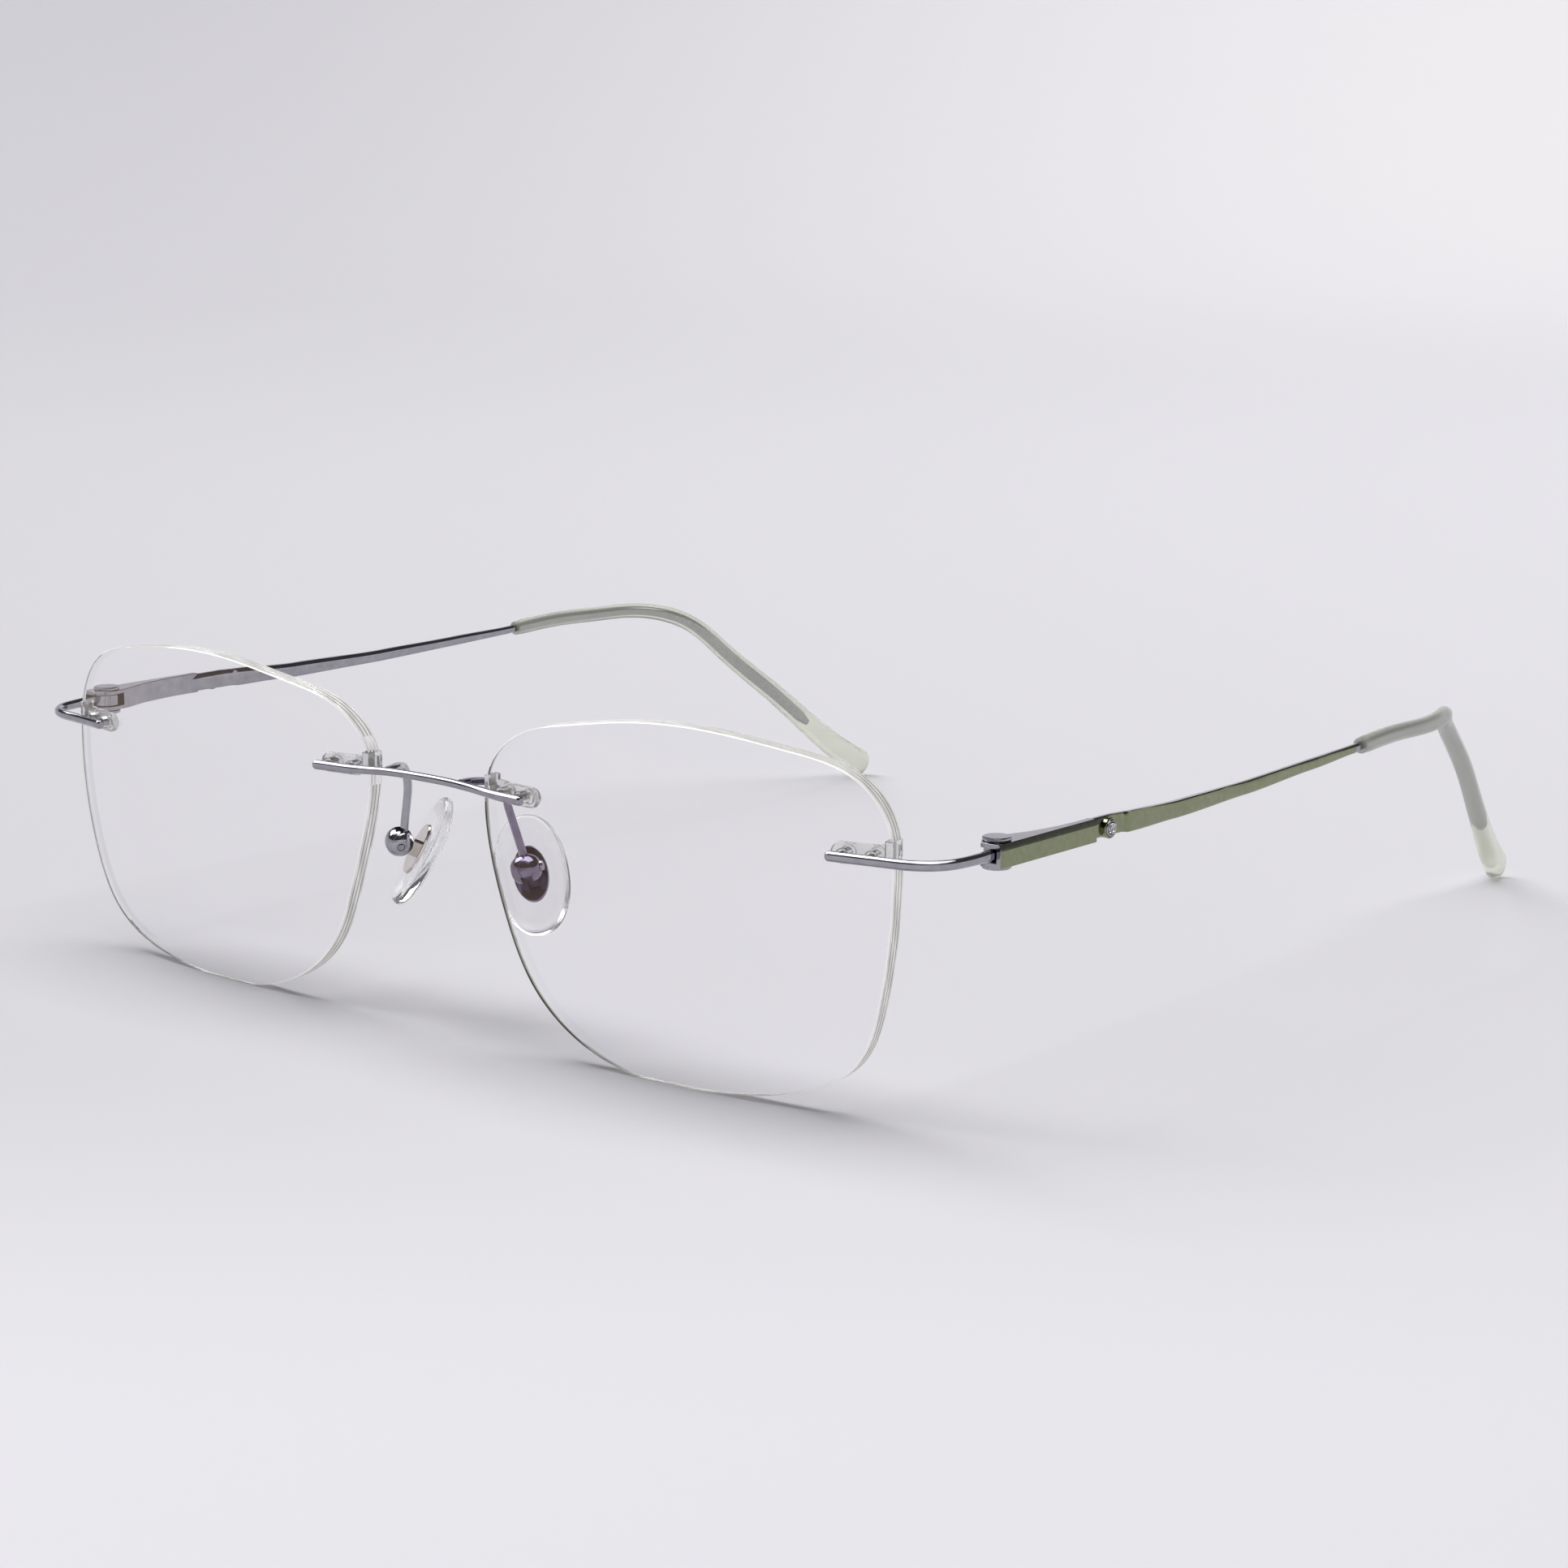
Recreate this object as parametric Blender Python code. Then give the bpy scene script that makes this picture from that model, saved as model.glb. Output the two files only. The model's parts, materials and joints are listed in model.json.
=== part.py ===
"""Rimless spectacles: two clear lenses, a bridge and end pieces screwed straight to them,
folding temples with soft sleeves, and nose pads that rock on their boxes.

Lengths in this script are millimetres, and place() turns them into metres. +Z is up, the wearer
looks towards -Y, and +X is the wearer's left. Every piece is described for the left-hand side;
place() mirrors it for the right. Y is measured from the lens apex until place() moves the origin
to the middle of the footprint.
"""

import math

import bmesh
import bpy
import numpy as np
from mathutils import Vector

MM = 0.001
FOOTPRINT_MID_Y = 73.7  # from the lens apex back to the middle of the footprint

# Lens: clear, 53 wide, set on a 122 base curve with a little wrap and tilt.
LENS_CENTRE_X = 36.0
LENS_THICKNESS = 1.85
LENS_RADIUS = 107.6
LENS_WRAP = math.radians(4.0)
LENS_TILT = math.radians(2.5)
LENS_CHAMFER = 0.13
LENS_FLAT_V = -19.7  # a short flat along the bottom edge, on which the lens rests
LENS_SIDES = 60

# How finely the round pieces are divided.
BAR_SIDES = 8
ROD_SIDES = 10
DISC_SIDES = 22
SLEEVE_SIDES = 10
PAD_SIDES = 24
LENS_OUTLINE = (
    (25.5, 5.5), (24.7, 11.4), (21.3, 15.4), (14.0, 17.6), (4.5, 18.75), (-5.5, 18.6),
    (-15.0, 17.1), (-22.6, 14.8), (-26.6, 10.6), (-26.8, 4.0), (-24.3, -4.5), (-20.4, -12.4),
    (-14.0, -17.4), (-5.0, -19.8), (5.0, -19.5), (14.0, -18.0), (20.6, -14.4), (23.9, -7.0),
)

# Metal bars across the lens fronts, and the pieces that clamp them.
BAR_DEPTH = 1.0
BAR_HEIGHT = 1.05
BAR_GAP = 0.15
TEMPORAL_U, TEMPORAL_Z = 21.6, 27.5
NASAL_U, NASAL_Z = -23.0, 28.12
POST_RADIUS = 0.42
POST_SPACING = 3.1
BUSH_RADIUS = 0.7
LENS_HOLE_RADIUS = 0.77
POST_CLEARANCE = 0.08
PLUG_LENGTH, PLUG_HEIGHT, PLUG_THICKNESS = 6.0, 2.2, 0.75
PLUG_GAP = 0.14
NOTCH_DEPTH, NOTCH_HEIGHT, NOTCH_RISE = 0.9, 2.2, 0.75
TAB_CLEARANCE = 0.08

# Hinge, at the outer back corner of each end piece.
HINGE_X, HINGE_Y = 66.7, 14.4
BLOCK_LOW, BLOCK_HIGH = 26.4, 28.8
EAR_THICKNESS = 0.45
KNUCKLE_RADIUS = 1.35
KNUCKLE_GAP = 0.07
PIN_RADIUS = 0.45
PIN_CLEARANCE = 0.06
CAP_RADIUS, CAP_THICKNESS = 1.52, 0.4
CAP_GAP = 0.03

# Temple block, whose outer side is flat, then the neck, the bar and the core of the tip.
BLOCK_OUTER_X = 68.7
BLOCK_FRONT_Y, BLOCK_BACK_Y = 12.35, 29.2
WALL_INNER_X = 68.15
SLOT_BACK = 1.5  # from the hinge axis to the back wall of the hinge slot
BEZEL_Y, BEZEL_Z = 31.7, 27.47
BEZEL_RADIUS, BEZEL_INNER_X, BEZEL_OUTER_X = 0.88, 67.95, 68.85
BOSS_RADIUS, BOSS_OUTER_X = 1.1, 68.72
CRYSTAL_RADIUS = 0.62
SLEEVE_CLEARANCE = 0.07
SLEEVE_START = 0.4  # how far along the tip path the sleeve begins

# Nose pad: its face looks at the nose, and it rocks on a screw through its box.
BOX_CENTRE = Vector((10.2, 7.3, 18.9))
PAD_FACING = Vector((-0.45, 0.78, -0.43)).normalized()
PAD_LENGTHWAYS = Vector((-0.42, 0.2, 0.88))
BOX_RADIUS, BOX_LENGTH = 1.62, 3.1
BOX_SLOT, BOX_SLOT_DEPTH = 1.2, 1.12
LUG_RADIUS, LUG_THICKNESS = 1.0, 1.0
PLATE_NEAR, PLATE_FAR = 2.07, 2.62
PLATE_HALF_WIDTH, PLATE_HALF_HEIGHT = 1.88, 3.13
PAD_SCREW_RADIUS = 0.4


# Points, curves and rings -------------------------------------------------------------------


def spline(points, count, closed=False):
    """Evenly spaced points along the smooth curve through the given ones."""
    p = np.array(points, float)
    n = len(p)
    spans = n if closed else n - 1
    gap = np.array([np.linalg.norm(p[(i + 1) % n] - p[i]) for i in range(spans)])
    slope_of = np.zeros((n, n))
    target = np.zeros_like(p)
    for i in range(spans):
        j = (i + 1) % n
        rise = 3 * (p[j] - p[i]) / gap[i] ** 2
        for a, b in ((i, j), (j, i)):
            slope_of[a, a] += 2 / gap[i]
            slope_of[a, b] += 1 / gap[i]
            target[a] += rise
    slope = np.linalg.solve(slope_of, target)
    t = np.linspace(0, 1, 40, endpoint=False)[:, None]
    pieces = []
    for i in range(spans):
        j = (i + 1) % n
        ease = 3 * t**2 - 2 * t**3
        bend = (t**3 - 2 * t**2 + t) * slope[i] + (t**3 - t**2) * slope[j]
        pieces.append((1 - ease) * p[i] + ease * p[j] + gap[i] * bend)
    fine = np.vstack(pieces + [p[:1] if closed else p[-1:]])
    length = np.concatenate([[0], np.cumsum(np.linalg.norm(np.diff(fine, axis=0), axis=1))])
    wanted = np.linspace(0, length[-1], count, endpoint=not closed)
    return np.stack([np.interp(wanted, length, column) for column in fine.T], axis=1)


def section(width, height, squareness, sides):
    """A cross-section as (across, up) points: squareness 2 is an ellipse, 8 nearly a rectangle."""
    ring = []
    for k in range(sides):
        c = math.cos((k + 0.5) * math.tau / sides)
        s = math.sin((k + 0.5) * math.tau / sides)
        across = math.copysign(abs(c) ** (2 / squareness), c) * width / 2
        up = math.copysign(abs(s) ** (2 / squareness), s) * height / 2
        ring.append((across, up))
    return ring


def sweep_rings(path, sections):
    """One ring at each point of the path, square to it and upright."""
    path = np.array(path, float)
    tangents = np.gradient(path, axis=0)
    rings = []
    for centre, tangent, ring in zip(path, tangents, sections):
        along = Vector(tangent).normalized()
        across = along.cross(Vector((0, 0, 1))).normalized()
        up = across.cross(along)
        rings.append([Vector(centre) + a * across + u * up for a, u in ring])
    return rings


def stack_rings(centre, axis, across, rings, sides, squareness=2.0):
    """Rings (height, half width, half length) about an axis, half width lying along across."""
    axis = Vector(axis).normalized()
    across = Vector(across).normalized()
    third = axis.cross(across)
    return [
        [
            Vector(centre) + axis * height + across * a + third * b
            for a, b in section(2 * wide, 2 * long, squareness, sides)
        ]
        for height, wide, long in rings
    ]


def rod(start, end, radius, sides=ROD_SIDES, chamfer=0.0):
    """A round rod from start to end."""
    start = Vector(start)
    reach = Vector(end) - start
    across = reach.orthogonal()
    length = reach.length
    profile = [(0, radius - chamfer)]
    if chamfer:
        profile += [(chamfer, radius), (length - chamfer, radius)]
    profile.append((length, radius - chamfer))
    return stack_rings(start, reach, across, [(h, r, r) for h, r in profile], sides)


def prism(outline, low, high, chamfer=0.0):
    """A plan outline raised from low to high, its top and bottom rims drawn in by the chamfer."""
    middle = np.mean(outline, axis=0)

    def ring(z, inset):
        points = []
        for x, y in outline:
            away = Vector((x - middle[0], y - middle[1]))
            shrink = 1 - inset / away.length
            points.append(Vector((middle[0] + away.x * shrink, middle[1] + away.y * shrink, z)))
        return points

    if not chamfer:
        return [ring(low, 0), ring(high, 0)]
    return [ring(low, chamfer), ring(low + chamfer, 0), ring(high - chamfer, 0), ring(high, chamfer)]


def box_rings(centre, x_axis, y_axis, z_axis, size):
    """A block of the given size along three square axes."""
    half = [axis * length / 2 for axis, length in zip((x_axis, y_axis, z_axis), size)]
    corners = ((-1, -1), (1, -1), (1, 1), (-1, 1))
    return [[centre + half[0] * a + half[1] * b + half[2] * c for a, b in corners] for c in (-1, 1)]


# Blender objects ----------------------------------------------------------------------------


def clear_scene():
    for obj in list(bpy.data.objects):
        bpy.data.objects.remove(obj, do_unlink=True)


def material(name, colour, roughness, metallic=0.0, transmission=0.0):
    made = bpy.data.materials.new(name)
    made.use_nodes = True
    shader = made.node_tree.nodes["Principled BSDF"]
    shader.inputs["Base Color"].default_value = (*colour, 1)
    shader.inputs["Roughness"].default_value = roughness
    shader.inputs["Metallic"].default_value = metallic
    shader.inputs["Transmission Weight"].default_value = transmission
    made.diffuse_color = (*colour, 1)
    return made


def world(point, side):
    """A left-hand point in millimetres as a point of the scene, in metres."""
    return Vector((side * point[0], point[1] - FOOTPRINT_MID_Y, point[2])) * MM


def axis_empty(name, point, side):
    empty = bpy.data.objects.new(name, None)
    empty.empty_display_size = 4 * MM
    empty.location = world(point, side)
    bpy.context.collection.objects.link(empty)
    return empty


def place(name, rings, finish, side=1, parent=None, helper=False):
    """Skins the rings, closes both ends and adds the piece, mirrored where side is -1."""
    origin = parent.location if parent else Vector((0, 0, 0))
    shape = bmesh.new()
    loops = [[shape.verts.new(world(p, side) - origin) for p in ring] for ring in rings]
    for near, far in zip(loops, loops[1:]):
        for k in range(len(near)):
            n = (k + 1) % len(near)
            shape.faces.new((near[k], near[n], far[n], far[k]))
    shape.faces.new(loops[0])
    shape.faces.new(loops[-1])
    bmesh.ops.recalc_face_normals(shape, faces=shape.faces)
    mesh = bpy.data.meshes.new(name)
    shape.to_mesh(mesh)
    shape.free()
    mesh.shade_smooth()
    mesh.set_sharp_from_angle(angle=math.radians(32))
    obj = bpy.data.objects.new(name, mesh)
    bpy.context.collection.objects.link(obj)
    if parent:
        obj.parent = parent
    if helper:
        obj.hide_render = True
        obj.display_type = "WIRE"
    else:
        mesh.materials.append(finish)
    return obj


def combine(target, operation, name, rings, side, parent=None):
    """Joins a shape to the target, or cuts it away, with an exact Boolean."""
    other = place(name, rings, None, side, parent, helper=True)
    modifier = target.modifiers.new(name, "BOOLEAN")
    modifier.operation = operation
    modifier.solver = "EXACT"
    modifier.object = other


# Places on the lens -------------------------------------------------------------------------


def lens_point(u, v, depth, lift):
    """A point of the left lens: u towards the temple and v up, depth back from its front."""
    back = (u * u + v * v) / (2 * LENS_RADIUS) + depth
    y = back * math.cos(LENS_TILT) - v * math.sin(LENS_TILT)
    z = back * math.sin(LENS_TILT) + v * math.cos(LENS_TILT)
    x = u * math.cos(LENS_WRAP) - y * math.sin(LENS_WRAP)
    y = u * math.sin(LENS_WRAP) + y * math.cos(LENS_WRAP)
    return Vector((LENS_CENTRE_X + x, y, z + lift))


def lens_outline():
    outline = spline(LENS_OUTLINE, LENS_SIDES, closed=True)
    outline[:, 1] = np.maximum(outline[:, 1], LENS_FLAT_V)
    return outline


OUTLINE = lens_outline()
LENS_RIM = spline(LENS_OUTLINE, 400, closed=True)
LENS_LIFT = -min(lens_point(u, v, LENS_CHAMFER, 0).z for u, v in OUTLINE)


class Mount:
    """Where a bar crosses the lens: a point on the lens front, and the directions around it."""

    def __init__(self, u, height, towards_edge):
        v = (height - LENS_LIFT) / math.cos(LENS_TILT)
        turn = LENS_WRAP + math.atan(u / LENS_RADIUS)
        self.edge_side = towards_edge
        self.along = Vector((math.cos(turn), math.sin(turn), 0)) * towards_edge
        self.back = Vector((-math.sin(turn), math.cos(turn), 0))
        self.up = Vector((0, 0, 1))
        self.front = lens_point(u, v, 0, LENS_LIFT)
        self.front.z = height
        near = LENS_RIM[np.abs(LENS_RIM[:, 1] - v - NOTCH_RISE) < NOTCH_HEIGHT / 2]
        near = near[near[:, 0] * towards_edge > 0]
        rim_u = min(near[:, 0] * towards_edge) * towards_edge
        rim_point = lens_point(rim_u, v, LENS_THICKNESS / 2, LENS_LIFT)
        self.rim = (rim_point - self.front).dot(self.along)

    def at(self, along, back=0.0, up=0.0):
        return self.front + self.along * along + self.back * back + self.up * up

    def post_centres(self):
        return [self.at(-POST_SPACING / 2), self.at(POST_SPACING / 2)]

    def notch(self, clearance):
        """The block that fills the notch in the rim, less a clearance."""
        depth = LENS_THICKNESS + 2.0
        centre = self.at(self.rim - NOTCH_DEPTH / 2 + 1.0, depth / 2 - 1.0, NOTCH_RISE)
        size = (NOTCH_DEPTH + 2.0, NOTCH_HEIGHT, depth + 2.0)
        if clearance:
            long = NOTCH_DEPTH - clearance
            centre = self.at(self.rim - long / 2 + 0.02, LENS_THICKNESS / 2 + 0.35, NOTCH_RISE)
            size = (long - clearance, NOTCH_HEIGHT - 2 * clearance, LENS_THICKNESS + 0.7)
        return box_rings(centre, self.along, self.up, self.back, size)


MOUNTS = {
    "nasal": Mount(NASAL_U, NASAL_Z, -1),
    "temporal": Mount(TEMPORAL_U, TEMPORAL_Z, 1),
}


# Pieces -------------------------------------------------------------------------------------


def lens(side, word, finish):
    chamfer_scale = 1 - LENS_CHAMFER / 24
    steps = [(0.25, 0), (0.55, 0), (0.8, 0), (chamfer_scale, 0), (1, LENS_CHAMFER)]
    front = [(scale, depth) for scale, depth in steps]
    back = [(scale, LENS_THICKNESS - depth) for scale, depth in reversed(steps)]
    rings = []
    for scale, depth in front + back:
        rings.append([lens_point(u * scale, v * scale, depth, LENS_LIFT) for u, v in OUTLINE])
    made = place(f"{word}_lens", rings, finish, side)
    for where, mount in MOUNTS.items():
        for number, centre in enumerate(mount.post_centres()):
            reach = mount.back * 4
            hole = rod(centre - reach, centre + reach, LENS_HOLE_RADIUS)
            combine(made, "DIFFERENCE", f"cut_{word}_{where}_hole_{number}", hole, side)
        combine(made, "DIFFERENCE", f"cut_{word}_{where}_notch", mount.notch(0), side)


def add_posts(obj, word, where, side):
    """The two pins that pass from a bar through the lens into its plug."""
    mount = MOUNTS[where]
    for number, centre in enumerate(mount.post_centres()):
        start = centre - mount.back * (BAR_GAP + BAR_DEPTH / 2)
        end = centre + mount.back * (LENS_THICKNESS + 0.6)
        post = rod(start, end, POST_RADIUS)
        combine(obj, "UNION", f"add_{word}_{where}_post_{number}", post, side)


def lens_plug(side, word, where, finish):
    """A clear plug behind the lens: a plate, two bushes, two domes and a tab in the rim notch."""
    mount = MOUNTS[where]
    near = LENS_THICKNESS + PLUG_GAP
    middle = mount.at(-0.35)
    half_height = PLUG_HEIGHT / 2
    outline = []
    for end in (1, -1):
        for step in range(5):
            turn = -math.pi / 2 + step * math.pi / 4
            across = end * (PLUG_LENGTH / 2 - half_height + half_height * math.cos(turn))
            outline.append((across, end * half_height * math.sin(turn)))

    def plate_ring(back, inset):
        shrink = 1 - inset / half_height
        return [
            middle + mount.back * back + mount.along * a * (1 - inset / 3) + mount.up * u * shrink
            for a, u in outline
        ]

    far = near + PLUG_THICKNESS
    rings = [plate_ring(near, 0), plate_ring(far - 0.2, 0), plate_ring(far, 0.2)]
    made = place(f"{word}_{where}_plug", rings, finish, side)
    tag = f"{word}_{where}"
    for number, centre in enumerate(mount.post_centres()):
        bush = rod(centre + mount.back * 0.1, centre + mount.back * (near + 0.3), BUSH_RADIUS)
        combine(made, "UNION", f"add_{tag}_bush_{number}", bush, side)
        dome_rings = [(near + 0.3, 0.85, 0.85), (far + 0.15, 0.85, 0.85), (far + 0.4, 0.6, 0.6)]
        dome = stack_rings(centre, mount.back, mount.along, dome_rings, ROD_SIDES)
        combine(made, "UNION", f"add_{tag}_dome_{number}", dome, side)
    neck_start = PLUG_LENGTH / 2 - 1.0
    neck_length = mount.rim - neck_start - TAB_CLEARANCE
    neck_centre = mount.at(neck_start + neck_length / 2, near + 0.35, NOTCH_RISE / 2)
    neck_size = (neck_length, 1.5, 0.5)
    neck = box_rings(neck_centre, mount.along, mount.up, mount.back, neck_size)
    combine(made, "UNION", f"add_{tag}_neck", neck, side)
    combine(made, "UNION", f"add_{tag}_tab", mount.notch(TAB_CLEARANCE), side)
    for number, centre in enumerate(mount.post_centres()):
        end = centre + mount.back * (far + 0.1)
        hole = rod(centre - mount.back, end, POST_RADIUS + POST_CLEARANCE)
        combine(made, "DIFFERENCE", f"cut_{tag}_post_{number}", hole, side)


def bar_centre(where, along):
    """A point on the middle line of a bar, where it lies on the lens front."""
    mount = MOUNTS[where]
    return mount.at(along, -(BAR_GAP + BAR_DEPTH / 2))


def bar_sections(count, taper_start, taper_end, height_middle=1.0):
    """Sections of a bar with bevelled ends and, if asked, a slimmer middle."""
    rings = []
    for i in range(count):
        size = 1.0
        for ends, at in ((taper_start, i), (taper_end, count - 1 - i)):
            if ends and at < 2:
                size = (0.55, 0.9)[at]
        middle = 1 - abs(2 * i / (count - 1) - 1)
        height = BAR_HEIGHT * (1 - (1 - height_middle) * min(1, 2 * middle))
        rings.append(section(BAR_DEPTH * size, height * size, 6, BAR_SIDES))
    return rings


def bridge(finish):
    left_half = [
        bar_centre("nasal", -2.95),
        bar_centre("nasal", -1.2),
        bar_centre("nasal", 1.8),
        Vector((9.1, 0.66, 28.2)),
        Vector((5.2, 0.62, 28.5)),
    ]
    middle = [Vector((0, 0.42, 28.65))]
    right_half = [Vector((-p.x, p.y, p.z)) for p in reversed(left_half)]
    path = spline(left_half + middle + right_half, 35)
    made = place("bridge", sweep_rings(path, bar_sections(35, True, True, 0.88)), finish)
    for side, word in SIDES:
        add_posts(made, word, "nasal", side)


def end_piece(side, word, finish):
    points = [
        (54.63, 2.25, 27.5), (57.5, 2.82, 27.5), (61.4, 3.5, 27.52), (63.8, 3.95, 27.55),
        (65.6, 4.95, 27.58), (66.75, 6.5, 27.6), (67.3, 8.6, 27.64), (67.5, 10.6, 27.67),
        (67.5, 12.2, 27.68), (67.35, 13.9, 27.68),
    ]
    path = spline(points, 24)
    shape = sweep_rings(path, bar_sections(24, True, False))
    made = place(f"{word}_end_piece", shape, finish, side)
    low = BLOCK_LOW + EAR_THICKNESS + KNUCKLE_GAP
    high = BLOCK_HIGH - EAR_THICKNESS - KNUCKLE_GAP
    knuckle = rod((HINGE_X, HINGE_Y, low), (HINGE_X, HINGE_Y, high), KNUCKLE_RADIUS, DISC_SIDES, 0.1)
    combine(made, "UNION", f"add_{word}_knuckle", knuckle, side)
    add_posts(made, word, "temporal", side)
    hole_radius = PIN_RADIUS + PIN_CLEARANCE
    hole = rod((HINGE_X, HINGE_Y, low - 2), (HINGE_X, HINGE_Y, high + 2), hole_radius, 16)
    combine(made, "DIFFERENCE", f"cut_{word}_knuckle_bore", hole, side)


def hinge_screw(side, word, parent, finish):
    """A flat round head on the upper ear, and the shank that runs down to the nut."""
    base = BLOCK_HIGH + CAP_GAP
    low = BLOCK_LOW - CAP_GAP - CAP_THICKNESS + 0.05
    head = [(base, CAP_RADIUS - 0.1), (base + 0.1, CAP_RADIUS)]
    head += [(base + CAP_THICKNESS - 0.1, CAP_RADIUS), (base + CAP_THICKNESS, CAP_RADIUS - 0.12)]
    profile = [(low, PIN_RADIUS), (base, PIN_RADIUS)] + head
    rings = [(height, radius, radius) for height, radius in profile]
    shape = stack_rings((HINGE_X, HINGE_Y, 0), (0, 0, 1), (1, 0, 0), rings, DISC_SIDES)
    place(f"{word}_hinge_screw", shape, finish, side, parent)


def hinge_nut(side, word, parent, finish):
    """The round nut under the lower ear, a ring about the shank."""
    high = BLOCK_LOW - CAP_GAP
    low = high - CAP_THICKNESS
    disc = rod((HINGE_X, HINGE_Y, low), (HINGE_X, HINGE_Y, high), CAP_RADIUS, DISC_SIDES, 0.1)
    made = place(f"{word}_hinge_nut", disc, finish, side, parent)
    radius = PIN_RADIUS + PIN_CLEARANCE
    hole = rod((HINGE_X, HINGE_Y, low - 1), (HINGE_X, HINGE_Y, high + 1), radius, 16)
    combine(made, "DIFFERENCE", f"cut_{word}_nut_bore", hole, side, parent)


def block_outline():
    """Plan of the block: flat outside, drawn in towards the neck, rounded about the hinge."""
    rounded = []
    for degrees in (180, 205, 230, 250):
        turn = math.radians(degrees)
        rounded.append((HINGE_X + 1.55 * math.cos(turn), HINGE_Y + 1.55 * math.sin(turn)))
    rounded[-1] = (rounded[-1][0], BLOCK_FRONT_Y)
    inner = [(67.5, BLOCK_BACK_Y), (67.55, 27.0), (67.35, 24.0), (66.7, 20.0), (65.6, 16.9)]
    outer = [(BLOCK_OUTER_X, BLOCK_FRONT_Y), (BLOCK_OUTER_X, BLOCK_BACK_Y)]
    return outer + inner + rounded


# The bar and the core: (x, y, z), thickness, height and squareness of each station.
BAR_STATIONS = (
    ((68.0, 27.5, 27.6), 0.8, 1.9, 8),
    ((67.72, 29.6, 27.66), 1.1, 2.1, 8),
    ((67.75, 32.9, 27.64), 1.1, 2.12, 8),
    ((67.8, 34.4, 27.58), 1.1, 2.08, 8),
    ((67.95, 36.2, 27.46), 1.1, 2.18, 8),
    ((67.8, 45.0, 27.27), 1.05, 1.82, 8),
    ((67.35, 60.0, 27.32), 1.0, 1.42, 8),
    ((66.95, 74.0, 27.7), 0.92, 1.18, 8),
    ((66.66, 84.0, 28.0), 0.88, 0.92, 6),
)

# The middle line of the tip, from the end of the bar to the end of the sleeve.
TIP_PATH = (
    (66.62, 85.2, 28.03), (66.5, 94.0, 28.42), (66.1, 102.8, 28.25), (64.4, 109.4, 28.1),
    (61.3, 115.2, 26.4), (59.55, 122.6, 20.9), (57.2, 131.2, 13.9), (55.05, 138.95, 7.2),
    (53.85, 143.3, 3.85), (53.2, 146.0, 2.06),
)
TIP_STATIONS = 23


def tip_width(share):
    """(thickness, height) of the sleeve at a share of its length, before its end is rounded."""
    flare = max(0.0, (share - 0.3) / 0.7)
    return 2.0 + 0.8 * flare**4, 2.0 + 1.2 * flare**0.8 + 0.9 * flare**5


def core_width(share):
    """(thickness, height) of the metal core inside the sleeve."""
    flare = min(1.0, max(0.0, (share - 0.3) / 0.35))
    return 0.85, 0.9 + 0.5 * flare


def core_stations():
    """Path and sections of the core, which ends short of the sleeve."""
    path = spline(TIP_PATH, TIP_STATIONS)
    last = TIP_STATIONS - 4
    sizes = [core_width(i / (TIP_STATIONS - 1)) for i in range(last)]
    sizes[-1] = (0.6, 0.7)
    return path[:last], sizes


def temple(side, word, parent, finish):
    block = prism(block_outline(), BLOCK_LOW, BLOCK_HIGH, 0.1)
    made = place(f"{word}_temple", block, finish, side, parent)
    core_path, core_sizes = core_stations()
    bar_points = [station[0] for station in BAR_STATIONS]
    path = bar_points + [tuple(point) for point in core_path[1:]]
    sections = [section(wide, tall, square, BAR_SIDES) for _, wide, tall, square in BAR_STATIONS]
    sections += [section(wide, tall, 2.6, BAR_SIDES) for wide, tall in core_sizes[1:]]
    combine(made, "UNION", f"add_{word}_bar", sweep_rings(path, sections), side, parent)
    boss = rod((67.7, BEZEL_Y, BEZEL_Z), (BOSS_OUTER_X, BEZEL_Y, BEZEL_Z), BOSS_RADIUS, 24)
    combine(made, "UNION", f"add_{word}_boss", boss, side, parent)
    slot_high = BLOCK_HIGH - EAR_THICKNESS
    slot_low = BLOCK_LOW + EAR_THICKNESS
    slot_front, slot_inner = 8.0, 60.0
    slot_back = HINGE_Y + SLOT_BACK
    slot = [
        [
            Vector((x, y, z))
            for x, y in (
                (slot_inner, slot_front),
                (WALL_INNER_X, slot_front),
                (WALL_INNER_X, slot_back),
                (slot_inner, slot_back),
            )
        ]
        for z in (slot_low, slot_high)
    ]
    combine(made, "DIFFERENCE", f"cut_{word}_hinge_slot", slot, side, parent)
    radius = PIN_RADIUS + PIN_CLEARANCE
    hole = rod((HINGE_X, HINGE_Y, BLOCK_LOW - 1), (HINGE_X, HINGE_Y, BLOCK_HIGH + 1), radius, 16)
    combine(made, "DIFFERENCE", f"cut_{word}_ear_bores", hole, side, parent)
    seat_end = (BEZEL_OUTER_X + 1, BEZEL_Y, BEZEL_Z)
    seat = rod((BEZEL_INNER_X - 0.05, BEZEL_Y, BEZEL_Z), seat_end, BEZEL_RADIUS + 0.05, 20)
    combine(made, "DIFFERENCE", f"cut_{word}_bezel_seat", seat, side, parent)


def bezel(side, word, parent, finish):
    """A round cup set in the temple, which holds the crystal."""
    depth = BEZEL_OUTER_X - BEZEL_INNER_X
    inner = CRYSTAL_RADIUS + 0.05
    profile = [
        (depth - 0.5, inner - 0.15), (depth - 0.1, inner), (depth, inner + 0.08),
        (depth, BEZEL_RADIUS - 0.1), (depth - 0.12, BEZEL_RADIUS), (0, BEZEL_RADIUS),
    ]
    rings = [(height, radius, radius) for height, radius in profile]
    centre = (BEZEL_INNER_X, BEZEL_Y, BEZEL_Z)
    shape = stack_rings(centre, (1, 0, 0), (0, 1, 0), rings, 20)
    place(f"{word}_bezel", shape, finish, side, parent)


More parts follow.
